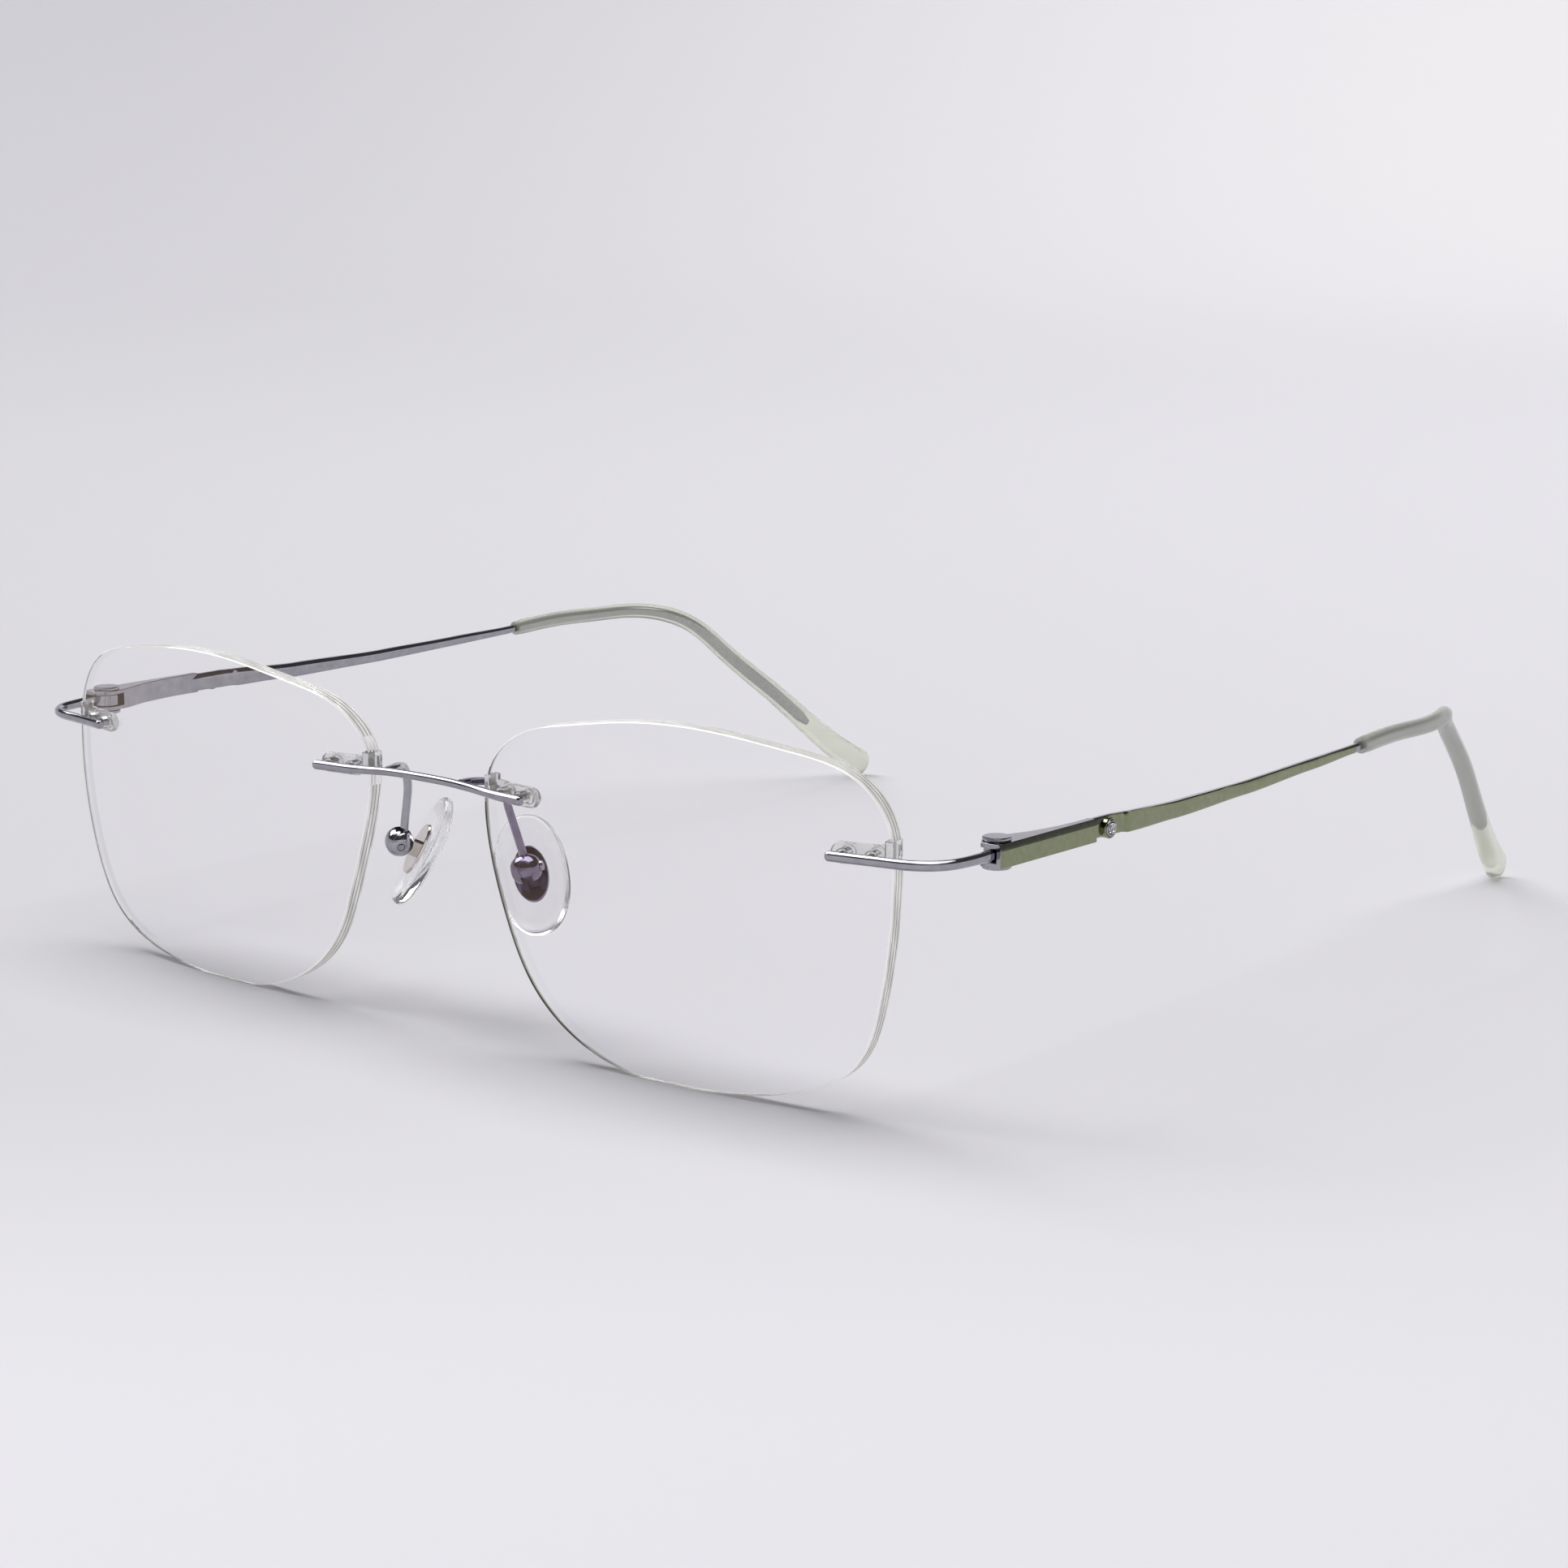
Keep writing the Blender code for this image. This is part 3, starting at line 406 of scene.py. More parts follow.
class Mount:
    """Where a bar crosses the lens: a point on the lens front, and the directions around it."""

    def __init__(self, u, height, towards_edge):
        v = (height - LENS_LIFT) / math.cos(LENS_TILT)
        turn = LENS_WRAP + math.atan(u / LENS_RADIUS)
        self.along = Vector((math.cos(turn), math.sin(turn), 0)) * towards_edge
        self.back = Vector((-math.sin(turn), math.cos(turn), 0))
        self.up = Vector((0, 0, 1))
        self.front = lens_point(u, v, 0, LENS_LIFT)
        self.front.z = height
        near = OUTLINE[np.abs(OUTLINE[:, 1] - v - NOTCH_RISE) < NOTCH_HEIGHT / 2]
        near = near[near[:, 0] * towards_edge > 0]
        rim_u = min(near[:, 0] * towards_edge) * towards_edge
        rim_point = lens_point(rim_u, v, LENS_THICKNESS / 2, LENS_LIFT)
        self.rim = (rim_point - self.front).dot(self.along)

    def at(self, along, back=0.0, up=0.0):
        return self.front + self.along * along + self.back * back + self.up * up

    def post_centres(self):
        return [self.at(-POST_SPACING / 2), self.at(POST_SPACING / 2)]

    def notch(self, clearance):
        """The block that fills the notch in the rim, less a clearance."""
        depth = LENS_THICKNESS + 2.0
        centre = self.at(self.rim - NOTCH_DEPTH / 2 + 1.0, depth / 2 - 1.0, NOTCH_RISE)
        size = (NOTCH_DEPTH + 2.0, NOTCH_HEIGHT, depth + 2.0)
        if clearance:
            long = NOTCH_DEPTH - clearance
            centre = self.at(self.rim - long / 2 + 0.02, LENS_THICKNESS / 2 + 0.35, NOTCH_RISE)
            size = (long - clearance, NOTCH_HEIGHT - 2 * clearance, LENS_THICKNESS + 0.7)
        return block_rings(centre, self.along, self.up, self.back, size)

    def posts(self):
        """The two pins that pass from a bar through the lens into its plug."""
        made = []
        for centre in self.post_centres():
            start = centre - self.back * (BAR_GAP + BAR_DEPTH / 2)
            made.append(rod(start, centre + self.back * (LENS_THICKNESS + 0.6), POST_RADIUS))
        return made


MOUNTS = {"nasal": Mount(NASAL_U, NASAL_Z, -1), "temporal": Mount(TEMPORAL_U, TEMPORAL_Z, 1)}


# Materials ----------------------------------------------------------------------------------


class Shader:
    """A material whose surface is one Principled shader, with helpers for its nodes."""

    def __init__(self, name, **values):
        self.material = bpy.data.materials.new(name)
        self.material.use_nodes = True
        self.nodes = self.material.node_tree.nodes
        self.links = self.material.node_tree.links
        self.principled = self.nodes["Principled BSDF"]
        for key, value in values.items():
            self.principled.inputs[key.replace("_", " ")].default_value = value
        self.place = self.nodes.new("ShaderNodeTexCoord").outputs["Object"]

    def noise(self, scale, detail=3.0, stretch=None):
        """Noise over the object, scale per metre, drawn out along an axis if stretch is given."""
        place = self.place
        if stretch:
            mapping = self.nodes.new("ShaderNodeMapping")
            mapping.inputs["Scale"].default_value = stretch
            self.links.new(self.place, mapping.inputs["Vector"])
            place = mapping.outputs["Vector"]
        texture = self.nodes.new("ShaderNodeTexNoise")
        texture.inputs["Scale"].default_value = scale
        texture.inputs["Detail"].default_value = detail
        self.links.new(place, texture.inputs["Vector"])
        return texture.outputs["Fac"]

    def drive(self, socket, factor, low, high):
        """Drives a number of the shader between low and high with a factor."""
        spread = self.nodes.new("ShaderNodeMapRange")
        spread.inputs["From Min"].default_value = 0.3
        spread.inputs["From Max"].default_value = 0.7
        spread.inputs["To Min"].default_value = low
        spread.inputs["To Max"].default_value = high
        self.links.new(factor, spread.inputs["Value"])
        self.links.new(spread.outputs["Result"], self.principled.inputs[socket])

    def tint(self, factor, low, high):
        """Varies the base colour between two colours with a factor."""
        ramp = self.nodes.new("ShaderNodeValToRGB")
        ramp.color_ramp.elements[0].position = 0.3
        ramp.color_ramp.elements[1].position = 0.7
        ramp.color_ramp.elements[0].color = (*low, 1)
        ramp.color_ramp.elements[1].color = (*high, 1)
        self.links.new(factor, ramp.inputs["Fac"])
        self.links.new(ramp.outputs["Color"], self.principled.inputs["Base Color"])

    def bump(self, factor, strength, distance):
        bump = self.nodes.new("ShaderNodeBump")
        bump.inputs["Strength"].default_value = strength
        bump.inputs["Distance"].default_value = distance
        self.links.new(factor, bump.inputs["Height"])
        self.links.new(bump.outputs["Normal"], self.principled.inputs["Normal"])


def polished_metal():
    made = Shader("polished_metal", Metallic=1.0)
    made.tint(made.noise(900, 2), (0.33, 0.325, 0.36), (0.39, 0.385, 0.415))
    made.drive("Roughness", made.noise(2500, 4), 0.05, 0.11)
    made.bump(made.noise(6000, 2, (1, 0.15, 1)), 0.05, 0.00001)
    return made.material


def pad_metal(name, low, high):
    """The pads' arms, boxes and plates, in lit and shaded copies per side whose colours are painted light
    and painted shade.
    """
    made = Shader(name, Metallic=1.0)
    made.tint(made.noise(900, 2), low, high)
    made.drive("Roughness", made.noise(2500, 4), 0.04, 0.09)
    made.bump(made.noise(6000, 2), 0.05, 0.00001)
    return made.material


def olive_lacquer(name, low, high):
    made = Shader(name, Metallic=0.95, Coat_Weight=0.35, Coat_Roughness=0.08)
    made.tint(made.noise(1400, 4), low, high)
    made.drive("Roughness", made.noise(3000, 4), 0.13, 0.2)
    made.bump(made.noise(9000, 2), 0.05, 0.00001)
    return made.material


def lens_plastic():
    made = Shader("clear_lens", Transmission_Weight=1.0, IOR=1.56)
    made.principled.inputs["Thin Film Thickness"].default_value = 116
    made.principled.inputs["Thin Film IOR"].default_value = 1.27
    made.tint(made.noise(60, 1), (0.988, 0.986, 0.99), (0.994, 0.992, 0.996))
    made.drive("Roughness", made.noise(120, 2), 0.0, 0.004)
    return made.material


def lens_edge(name, clearness, low, high, glow):
    """The ground edge of a lens. Its glow is painted light: an emission that stands for light that runs
    inside the lens to its edge.
    """
    made = Shader(name, Transmission_Weight=clearness, IOR=1.56)
    made.principled.inputs["Emission Color"].default_value = (*high, 1)
    made.principled.inputs["Emission Strength"].default_value = glow
    made.tint(made.noise(300, 2), low, high)
    made.drive("Roughness", made.noise(800, 3), 0.06, 0.14)
    made.bump(made.noise(2500, 3, (1, 1, 0.3)), 0.08, 0.00002)
    return made.material


def clear_moulding():
    made = Shader("clear_moulding", Transmission_Weight=0.88, IOR=1.45)
    made.tint(made.noise(700, 3), (0.97, 0.97, 0.955), (1.0, 1.0, 0.99))
    made.drive("Roughness", made.noise(1500, 3), 0.04, 0.12)
    made.bump(made.noise(1800, 3), 0.2, 0.00004)
    return made.material


def clear_silicone():
    made = Shader("clear_silicone", Transmission_Weight=0.97, IOR=1.41)
    made.tint(made.noise(500, 2), (0.97, 0.97, 0.975), (1.0, 1.0, 1.0))
    made.drive("Roughness", made.noise(1200, 3), 0.02, 0.07)
    made.bump(made.noise(900, 2), 0.08, 0.00004)
    return made.material


def sleeve_plastic():
    made = Shader("translucent_sleeve", Transmission_Weight=0.74, IOR=1.34)
    made.tint(made.noise(220, 2, (1, 0.4, 1)), (0.93, 0.96, 0.835), (0.97, 0.99, 0.885))
    made.drive("Roughness", made.noise(700, 2), 0.16, 0.24)
    made.bump(made.noise(500, 2), 0.04, 0.00005)
    return made.material


def stone():
    made = Shader("crystal", Transmission_Weight=0.85, IOR=1.9)
    made.tint(made.noise(900, 1), (0.95, 0.95, 0.97), (1.0, 1.0, 1.0))
    made.drive("Roughness", made.noise(900, 1), 0.0, 0.02)
    return made.material


METAL = polished_metal()
# Painted shade and light: the left pad hardware is dark violet, a painted shade with a painted violet
# reflection of the lens coating, and the right is lighter.
PAD_METALS_LIT_AND_SHADED = {
    "left": pad_metal("violet_pad_metal_painted_shade", (0.17, 0.15, 0.225), (0.23, 0.205, 0.29)),
    "right": pad_metal("grey_pad_metal_painted_light", (0.37, 0.365, 0.395), (0.43, 0.425, 0.455)),
}
PLATE_METALS_LIT_AND_SHADED = {
    "left": pad_metal("violet_plate_metal_painted_shade", (0.15, 0.13, 0.22), (0.20, 0.175, 0.28)),
    "right": pad_metal("warm_plate_metal_painted_light", (0.66, 0.62, 0.58), (0.74, 0.70, 0.66)),
}
OLIVE = olive_lacquer("olive_lacquer", (0.205, 0.23, 0.13), (0.25, 0.28, 0.162))
# Painted shade: a near-black copy of the olive lacquer for the dark line along the top outer edge of the
# block.
SHADED_OLIVE = olive_lacquer("olive_lacquer_in_painted_shade", (0.035, 0.04, 0.022), (0.055, 0.062, 0.036))
LENS = lens_plastic()
# The pale edge glows with painted light.
EDGE = lens_edge("lens_edge", 0.45, (0.96, 0.95, 0.91), (1.0, 0.99, 0.95), 0.14)
LINE = lens_edge("lens_edge_line", 0.3, (0.30, 0.30, 0.28), (0.50, 0.50, 0.47), 0)
DIM_EDGE = lens_edge("lens_edge_in_shade", 0.2, (0.045, 0.055, 0.045), (0.085, 0.10, 0.08), 0)
MOULDING = clear_moulding()
SILICONE = clear_silicone()
SLEEVE = sleeve_plastic()
STONE = stone()


# Pieces -------------------------------------------------------------------------------------


def lens(side, word):
    """The meniscus: domed front, hollow back, a narrow bevel each side and a grooved edge."""
    scales = [0.04, 0.12, 0.22, 0.34, 0.46, 0.58, 0.70, 0.81, 0.9, 0.96]
    rim = 1 - LENS_CHAMFER / LENS_REACH
    front = [(scale, 0.0) for scale in scales + [rim]] + [(1.0, LENS_CHAMFER)]
    groove = 1 - GROOVE_DEPTH / LENS_REACH
    back = []
    grooves = [share * LENS_THICKNESS for share in GROOVE_SHARES]
    for middle in grooves:
        back += [(1.0, middle - GROOVE_DEPTH), (groove, middle), (1.0, middle + GROOVE_DEPTH)]
    back += [(scale, LENS_THICKNESS - depth) for scale, depth in reversed(front)]
    rings = [
        [lens_point(u * scale, v * scale, depth, LENS_LIFT) for u, v in OUTLINE]
        for scale, depth in front + back
    ]
    poles = (lens_point(0, 0, 0, LENS_LIFT), lens_point(0, 0, LENS_THICKNESS, LENS_LIFT))
    made = skin(f"{word}_lens_fine", rings, side, poles)
    cuts = []
    for mount in MOUNTS.values():
        for centre in mount.post_centres():
            cuts.append(rod(centre - mount.back * 4, centre + mount.back * 4, LENS_HOLE_RADIUS))
        cuts.append(mount.notch(0))
    combine(made, "DIFFERENCE", *cuts, side=side)
    finish(made, f"{word}_lens", "front", "clear_lens", LENS, EDGE, LINE, DIM_EDGE, sharp=20)
    forward = MOUNTS["nasal"].back

    def on_edge(centre, normal):
        return abs(normal.dot(forward)) < 0.8

    def in_groove(centre, normal):
        off = min(abs(lens_depth(centre) - middle) for middle in grooves)
        return on_edge(centre, normal) and off < GROOVE_DEPTH

    def in_shade(centre, normal):
        """The front part of the edges that face the wearer's right, below the bars."""
        turned_right = side * normal.x < -0.3 and centre.z < SHADE_TOP
        near_front = lens_depth(centre) < SHADE_SHARE * LENS_THICKNESS
        return turned_right and near_front and on_edge(centre, normal)

    paint_faces(made, side, 1, on_edge)
    paint_faces(made, side, 2, in_groove)
    paint_faces(made, side, 3, in_shade)


def lens_plug(side, word, where):
    """A clear plug behind the lens: a plate, two bushes, two domes and a tab in the rim notch."""
    mount = MOUNTS[where]
    near = LENS_THICKNESS + PLUG_GAP
    far = near + PLUG_THICKNESS
    middle = mount.at(-0.35)
    half = PLUG_HEIGHT / 2
    outline = []
    for end in (1, -1):
        for step in range(17):
            turn = -math.pi / 2 + step * math.pi / 16
            across = end * (PLUG_LENGTH / 2 - half + half * math.cos(turn))
            outline.append((across, end * half * math.sin(turn)))
    levels = ((near, 0.08), (near + 0.08, 0), (far - 0.25, 0), (far - 0.07, 0.08), (far, 0.25))
    rings = []
    for back, inset in levels:
        shrink = 1 - inset / half
        rings.append([
            middle + mount.back * back + mount.along * a * (1 - inset / 3) + mount.up * u * shrink
            for a, u in outline
        ])
    made = skin(f"{word}_{where}_plug_fine", rings, side)
    neck_start = PLUG_LENGTH / 2 - 1.0
    neck_length = mount.rim - neck_start - TAB_CLEARANCE
    neck_centre = mount.at(neck_start + neck_length / 2, near + 0.35, NOTCH_RISE / 2)
    shapes = [block_rings(neck_centre, mount.along, mount.up, mount.back, (neck_length, 1.5, 0.5))]
    shapes.append(mount.notch(TAB_CLEARANCE))
    holes = []
    for centre in mount.post_centres():
        shapes.append(rod(centre + mount.back * 0.1, centre + mount.back * (near + 0.3), BUSH_RADIUS))
        dome = [(near + 0.3, 0.85), (far + 0.1, 0.85), (far + 0.25, 0.8), (far + 0.35, 0.68)]
        shapes.append(turned(centre, mount.back, mount.along, dome + [(far + 0.4, 0.5)], 32))
        end = centre + mount.back * (far + 0.1)
        holes.append(rod(centre - mount.back, end, POST_RADIUS + POST_CLEARANCE))
    combine(made, "UNION", *shapes, side=side)
    combine(made, "DIFFERENCE", *holes, side=side)
    finish(made, f"{word}_{where}_plug", "front", "clear_moulding", MOULDING, sharp=40)


def bar_sweep(points, stations, slimming=0.0, softening=0.0, flare=0.0):
    """A bar through the points with rounded-over tips. It may have a slimmer, rounder middle, or
    grow by the flare towards its last end, which is then square."""
    fine, lengths = smooth_line(points)
    total = lengths[-1]
    tip = ((0.0, 0.6), (0.05, 0.74), (0.13, 0.88), (0.25, 0.97), (0.4, 1.0))
    ends = [reach for reach, _ in tip]
    at = ends + list(np.linspace(0.6, total - 0.6, stations)) + [total - reach for reach in ends[::-1]]
    path = np.stack([np.interp(at, lengths, column) for column in fine.T], axis=1)
    sections = []
    for reach in at:
        size = np.interp(reach, ends, [s for _, s in tip])
        if not flare:
            size *= np.interp(total - reach, ends, [s for _, s in tip])
        middle = 1 - abs(2 * reach / total - 1)
        height = BAR_HEIGHT * (1 - slimming * min(1, 2 * middle)) * size
        softness = softening * min(1, max(0, 3 * middle - 0.75))
        growth = flare * min(1, max(0, 1 - (total - reach) / 6)) ** 2
        cut = BAR_BEVEL * size * (1 - 3 * growth)
        width = BAR_DEPTH * size * (1 + 0.6 * growth)
        sections.append(faceted(width, height * (1 + growth), cut, cut, softness))
    return sweep(path, sections)


def bar_centre(where, along):
    return MOUNTS[where].at(along, -(BAR_GAP + BAR_DEPTH / 2))


def bridge():
    left_half = [bar_centre("nasal", along) for along in (-2.95, -1.2, 1.8)]
    left_half += [Vector((9.1, 0.66, 28.2)), Vector((5.2, 0.62, 28.5))]
    right_half = [Vector((-p.x, p.y, p.z)) for p in reversed(left_half)]
    path = left_half + [Vector((0, 0.42, 28.65))] + right_half
    made = skin("bridge_fine", bar_sweep(path, 150, slimming=0.14, softening=0.75))
    for side, _ in SIDES:
        combine(made, "UNION", *MOUNTS["nasal"].posts(), side=side)
    finish(made, "bridge", "front", "polished_metal", METAL)


def end_piece(side, word):
    points = [
        (54.63, 2.25, 27.5), (57.5, 2.82, 27.5), (61.4, 3.5, 27.52), (63.8, 3.95, 27.55),
        (65.6, 4.95, 27.58), (66.75, 6.5, 27.6), (67.3, 8.6, 27.64), (67.5, 10.6, 27.67),
        (67.5, 12.2, 27.68), (67.35, 13.9, 27.68),
    ]
    made = skin(f"{word}_end_piece_fine", bar_sweep(points, 110, flare=0.15), side)
    low = BLOCK_LOW + EAR_THICKNESS + KNUCKLE_GAP
    high = BLOCK_HIGH - EAR_THICKNESS - KNUCKLE_GAP
    centre = Vector((HINGE_X, HINGE_Y, 0))
    up = Vector((0, 0, 1))
    knuckle = rod(centre + up * low, centre + up * high, KNUCKLE_RADIUS, 64, 0.08)
    combine(made, "UNION", knuckle, *MOUNTS["temporal"].posts(), side=side)
    bore = rod(centre + up * (low - 2), centre + up * (high + 2), PIN_RADIUS + PIN_CLEARANCE)
    combine(made, "DIFFERENCE", bore, side=side)
    finish(made, f"{word}_end_piece", "front", "polished_metal", METAL)


def hinge_screw(side, word, body):
    """A flat round head on the upper ear, and the shank that runs down to the nut."""
    base = BLOCK_HIGH + CAP_GAP
    low = BLOCK_LOW - CAP_GAP - CAP_THICKNESS + 0.05
    top = base + CAP_THICKNESS
    profile = [(low, PIN_RADIUS - 0.06), (low + 0.06, PIN_RADIUS), (base, PIN_RADIUS)]
    profile += [(base, CAP_RADIUS - 0.12), (base + 0.08, CAP_RADIUS - 0.03), (base + 0.16, CAP_RADIUS)]
    profile += [(top - 0.18, CAP_RADIUS), (top - 0.06, CAP_RADIUS - 0.05), (top, CAP_RADIUS - 0.16)]
    rings = turned((HINGE_X, HINGE_Y, 0), (0, 0, 1), (1, 0, 0), profile, 72)
    made = skin(f"{word}_hinge_screw_fine", rings, side)
    finish(made, f"{word}_hinge_screw", body, "polished_metal", METAL)


def hinge_nut(side, word, body):
    high = BLOCK_LOW - CAP_GAP
    centre = Vector((HINGE_X, HINGE_Y, 0))
    up = Vector((0, 0, 1))
    disc = rod(centre + up * (high - CAP_THICKNESS), centre + up * high, CAP_RADIUS, 72, 0.1)
    made = skin(f"{word}_hinge_nut_fine", disc, side)
    hole = rod(centre + up * (high - 1), centre + up * (high + 1), PIN_RADIUS + PIN_CLEARANCE)
    combine(made, "DIFFERENCE", hole, side=side)
    finish(made, f"{word}_hinge_nut", body, "polished_metal", METAL)


def block_outline():
    """Plan of the block: flat outside, drawn in towards the neck, rounded about the hinge."""
    rounded = []
    for degrees in range(180, 231, 10):
        turn = math.radians(degrees)
        rounded.append((HINGE_X + 1.55 * math.cos(turn), HINGE_Y + 1.55 * math.sin(turn)))
    rounded.append((66.17, BLOCK_FRONT_Y))
    inner = [(67.5, BLOCK_BACK_Y), (67.55, 27.0), (67.35, 24.0), (66.7, 20.0), (65.6, 16.9)]
    outer = [(BLOCK_OUTER_X, BLOCK_FRONT_Y), (BLOCK_OUTER_X, BLOCK_BACK_Y)]
    return outer + inner + rounded


# The bar: (x, y, z), thickness and height of each station.
BAR_STATIONS = (
    ((68.0, 27.5, 27.6), 0.8, 1.9),
    ((67.72, 29.6, 27.66), 1.1, 2.1),
    ((67.75, 32.9, 27.64), 1.1, 2.12),
    ((67.8, 34.6, 27.58), 1.1, 2.08),
    ((67.95, 35.6, 27.48), 1.1, 2.18),
    ((67.8, 45.0, 27.27), 1.05, 1.82),
    ((67.35, 60.0, 27.32), 1.0, 1.42),
    ((66.95, 74.0, 27.7), 0.92, 1.18),
    ((66.66, 84.0, 28.0), 0.88, 0.95),
)
TIP_PATH = (
    (66.62, 85.2, 28.03), (66.5, 94.0, 28.42), (66.1, 102.8, 28.25), (64.4, 109.4, 28.1),
    (61.3, 115.2, 26.4), (59.55, 122.6, 20.9), (57.2, 131.2, 13.9), (55.05, 138.95, 7.2),
    (53.85, 143.3, 3.85), (53.2, 146.0, 2.06),
)
TIP_STATIONS = 120
CORE_START, CORE_END = 3, int(0.84 * TIP_STATIONS)  # stations of the tip that hold the core


def tip_width(share):
    """(thickness, height) of the sleeve at a share of its length, before its end is rounded."""
    flare = max(0.0, (share - 0.3) / 0.7)
    return 2.0 + 0.8 * flare**4, 2.0 + 1.2 * flare**0.8 + 0.9 * flare**5


def core_width(share):
    """(thickness, height) of the metal core inside the sleeve."""
    flare = min(1.0, max(0.0, (share - 0.3) / 0.35))
    return 0.85, 0.9 + 0.5 * flare


def bar_section(wide, tall):
    return faceted(wide, tall, 0.22 * wide, 0.3 * tall, lower=0.4)


def bar_and_core():
    """The rings of the tapering bar and of the core that carries on inside the sleeve."""
    path, sections = [], []
    for near, far in zip(BAR_STATIONS, BAR_STATIONS[1:]):
        for t in np.linspace(0, 1, 10, endpoint=False):
            ease = 3 * t**2 - 2 * t**3
            path.append([(1 - ease) * a + ease * b if k == 0 else (1 - t) * a + t * b
                         for k, (a, b) in enumerate(zip(near[0], far[0]))])
            wide, tall = [(1 - ease) * a + ease * b for a, b in zip(near[1:], far[1:])]
            sections.append(bar_section(wide, tall))
    path.append(BAR_STATIONS[-1][0])
    sections.append(bar_section(*BAR_STATIONS[-1][1:]))
    core = spline(TIP_PATH, TIP_STATIONS)
    for i in range(CORE_START, CORE_END):
        wide, tall = core_width(i / (TIP_STATIONS - 1))
        shrink = min(1.0, 0.55 + 0.15 * (CORE_END - 1 - i))
        path.append(core[i])
        sections.append(faceted(wide * shrink, tall * shrink, 0.25, 0.25, 0.3))
    return sweep(path, sections)


def shaving(start, end, away, near_y, far_y):
    """A long wedge that takes off all that lies beyond the line from start to end, both (x, z)."""
    start, end, away = Vector(start), Vector(end), Vector(away)
    reach = (end - start) * 0.02
    corners = (start - reach, end + reach, end + reach + away, start - reach + away)
    return [[Vector((x, y, z)) for x, z in corners] for y in (near_y, far_y)]


def temple(side, word, body):
    block = rim_rings(block_outline(), BLOCK_LOW, BLOCK_HIGH, 0.08, 0.14)
    made = skin(f"{word}_temple_fine", block, side)
    boss_start = (BEZEL_INNER_X - 0.25, BEZEL_Y, BEZEL_Z)
    boss = rod(boss_start, (BOSS_OUTER_X, BEZEL_Y, BEZEL_Z), BOSS_RADIUS, 64, 0.07)
    combine(made, "UNION", bar_and_core(), boss, side=side)
    top_edge = [(BLOCK_OUTER_X - 0.36, BLOCK_HIGH + 0.01), (BLOCK_OUTER_X - 0.24, BLOCK_HIGH - 0.05)]
    top_edge += [(BLOCK_OUTER_X - 0.03, BLOCK_HIGH - 0.48), (BLOCK_OUTER_X + 0.01, BLOCK_HIGH - 0.66)]
    shavings = [
        shaving(start, end, (1, 1), BLOCK_FRONT_Y - 1, BLOCK_BACK_Y + 0.02)
        for start, end in zip(top_edge, top_edge[1:])
    ]
    combine(made, "DIFFERENCE", *shavings, side=side)
    slot_back = HINGE_Y + SLOT_BACK
    slot_plan = ((60.0, 8.0), (WALL_INNER_X, 8.0), (WALL_INNER_X, slot_back), (60.0, slot_back))
    heights = (BLOCK_LOW + EAR_THICKNESS, BLOCK_HIGH - EAR_THICKNESS)
    slot = [[Vector((x, y, z)) for x, y in slot_plan] for z in heights]
    pin = (HINGE_X, HINGE_Y, BLOCK_LOW - 1), (HINGE_X, HINGE_Y, BLOCK_HIGH + 1)
    bore = rod(*pin, PIN_RADIUS + PIN_CLEARANCE)
    seat_start = (BEZEL_INNER_X - 0.05, BEZEL_Y, BEZEL_Z)
    seat = rod(seat_start, (BEZEL_OUTER_X + 1, BEZEL_Y, BEZEL_Z), BEZEL_RADIUS + 0.05, 48)
    combine(made, "DIFFERENCE", slot, bore, seat, side=side)
    finish(made, f"{word}_temple", body, "olive_lacquer", METAL, OLIVE, SHADED_OLIVE)

    def lacquered(centre, normal):
        behind_wall = centre.x < WALL_INNER_X - 0.5 and centre.y < BLOCK_BACK_Y
        on_boss = math.hypot(centre.y - BEZEL_Y, centre.z - BEZEL_Z) < BOSS_RADIUS + 0.02
        outward = normal.x > 0.6 or (on_boss and centre.x > WALL_INNER_X)
        return outward and centre.y < TIP_PATH[0][1] and not behind_wall

    # Painted shade: the lacquered faces in front of the bezel that turn partly upward are painted near
    # black, a dark line along the top outer edge.
    def shaded_top_edge(centre, normal):
        return lacquered(centre, normal) and 0.15 < normal.z < 0.7 and centre.y < BEZEL_Y

    paint_faces(made, side, 1, lacquered)
    paint_faces(made, side, 2, shaded_top_edge)


def bezel(side, word, body):
    """A round cup set in the temple, which holds the crystal."""
    depth = BEZEL_OUTER_X - BEZEL_INNER_X
    inner = CRYSTAL_RADIUS + 0.05
    profile = [
        (depth - 0.5, inner - 0.15), (depth - 0.1, inner), (depth - 0.02, inner + 0.04),
        (depth, inner + 0.1), (depth - 0.02, BEZEL_RADIUS - 0.06), (depth - 0.12, BEZEL_RADIUS),
        (0, BEZEL_RADIUS),
    ]
    rings = turned((BEZEL_INNER_X, BEZEL_Y, BEZEL_Z), (1, 0, 0), (0, 1, 0), profile, 64)
    made = skin(f"{word}_bezel_fine", rings, side)
    finish(made, f"{word}_bezel", body, "polished_metal", METAL, sharp=45)


def crystal(side, word, body):
    """A faceted stone: a table, a crown and a cone behind."""
    girdle = CRYSTAL_RADIUS - 0.04
    profile = [(-0.42, 0.12), (-0.05, girdle), (0.04, girdle), (0.18, 0.52), (0.26, 0.34)]
    rings = turned((BEZEL_OUTER_X, BEZEL_Y, BEZEL_Z), (1, 0, 0), (0, 1, 0), profile, 10)
    made = skin(f"{word}_crystal_fine", rings, side)
    finish(made, f"{word}_crystal", body, "crystal", STONE, flat=True)


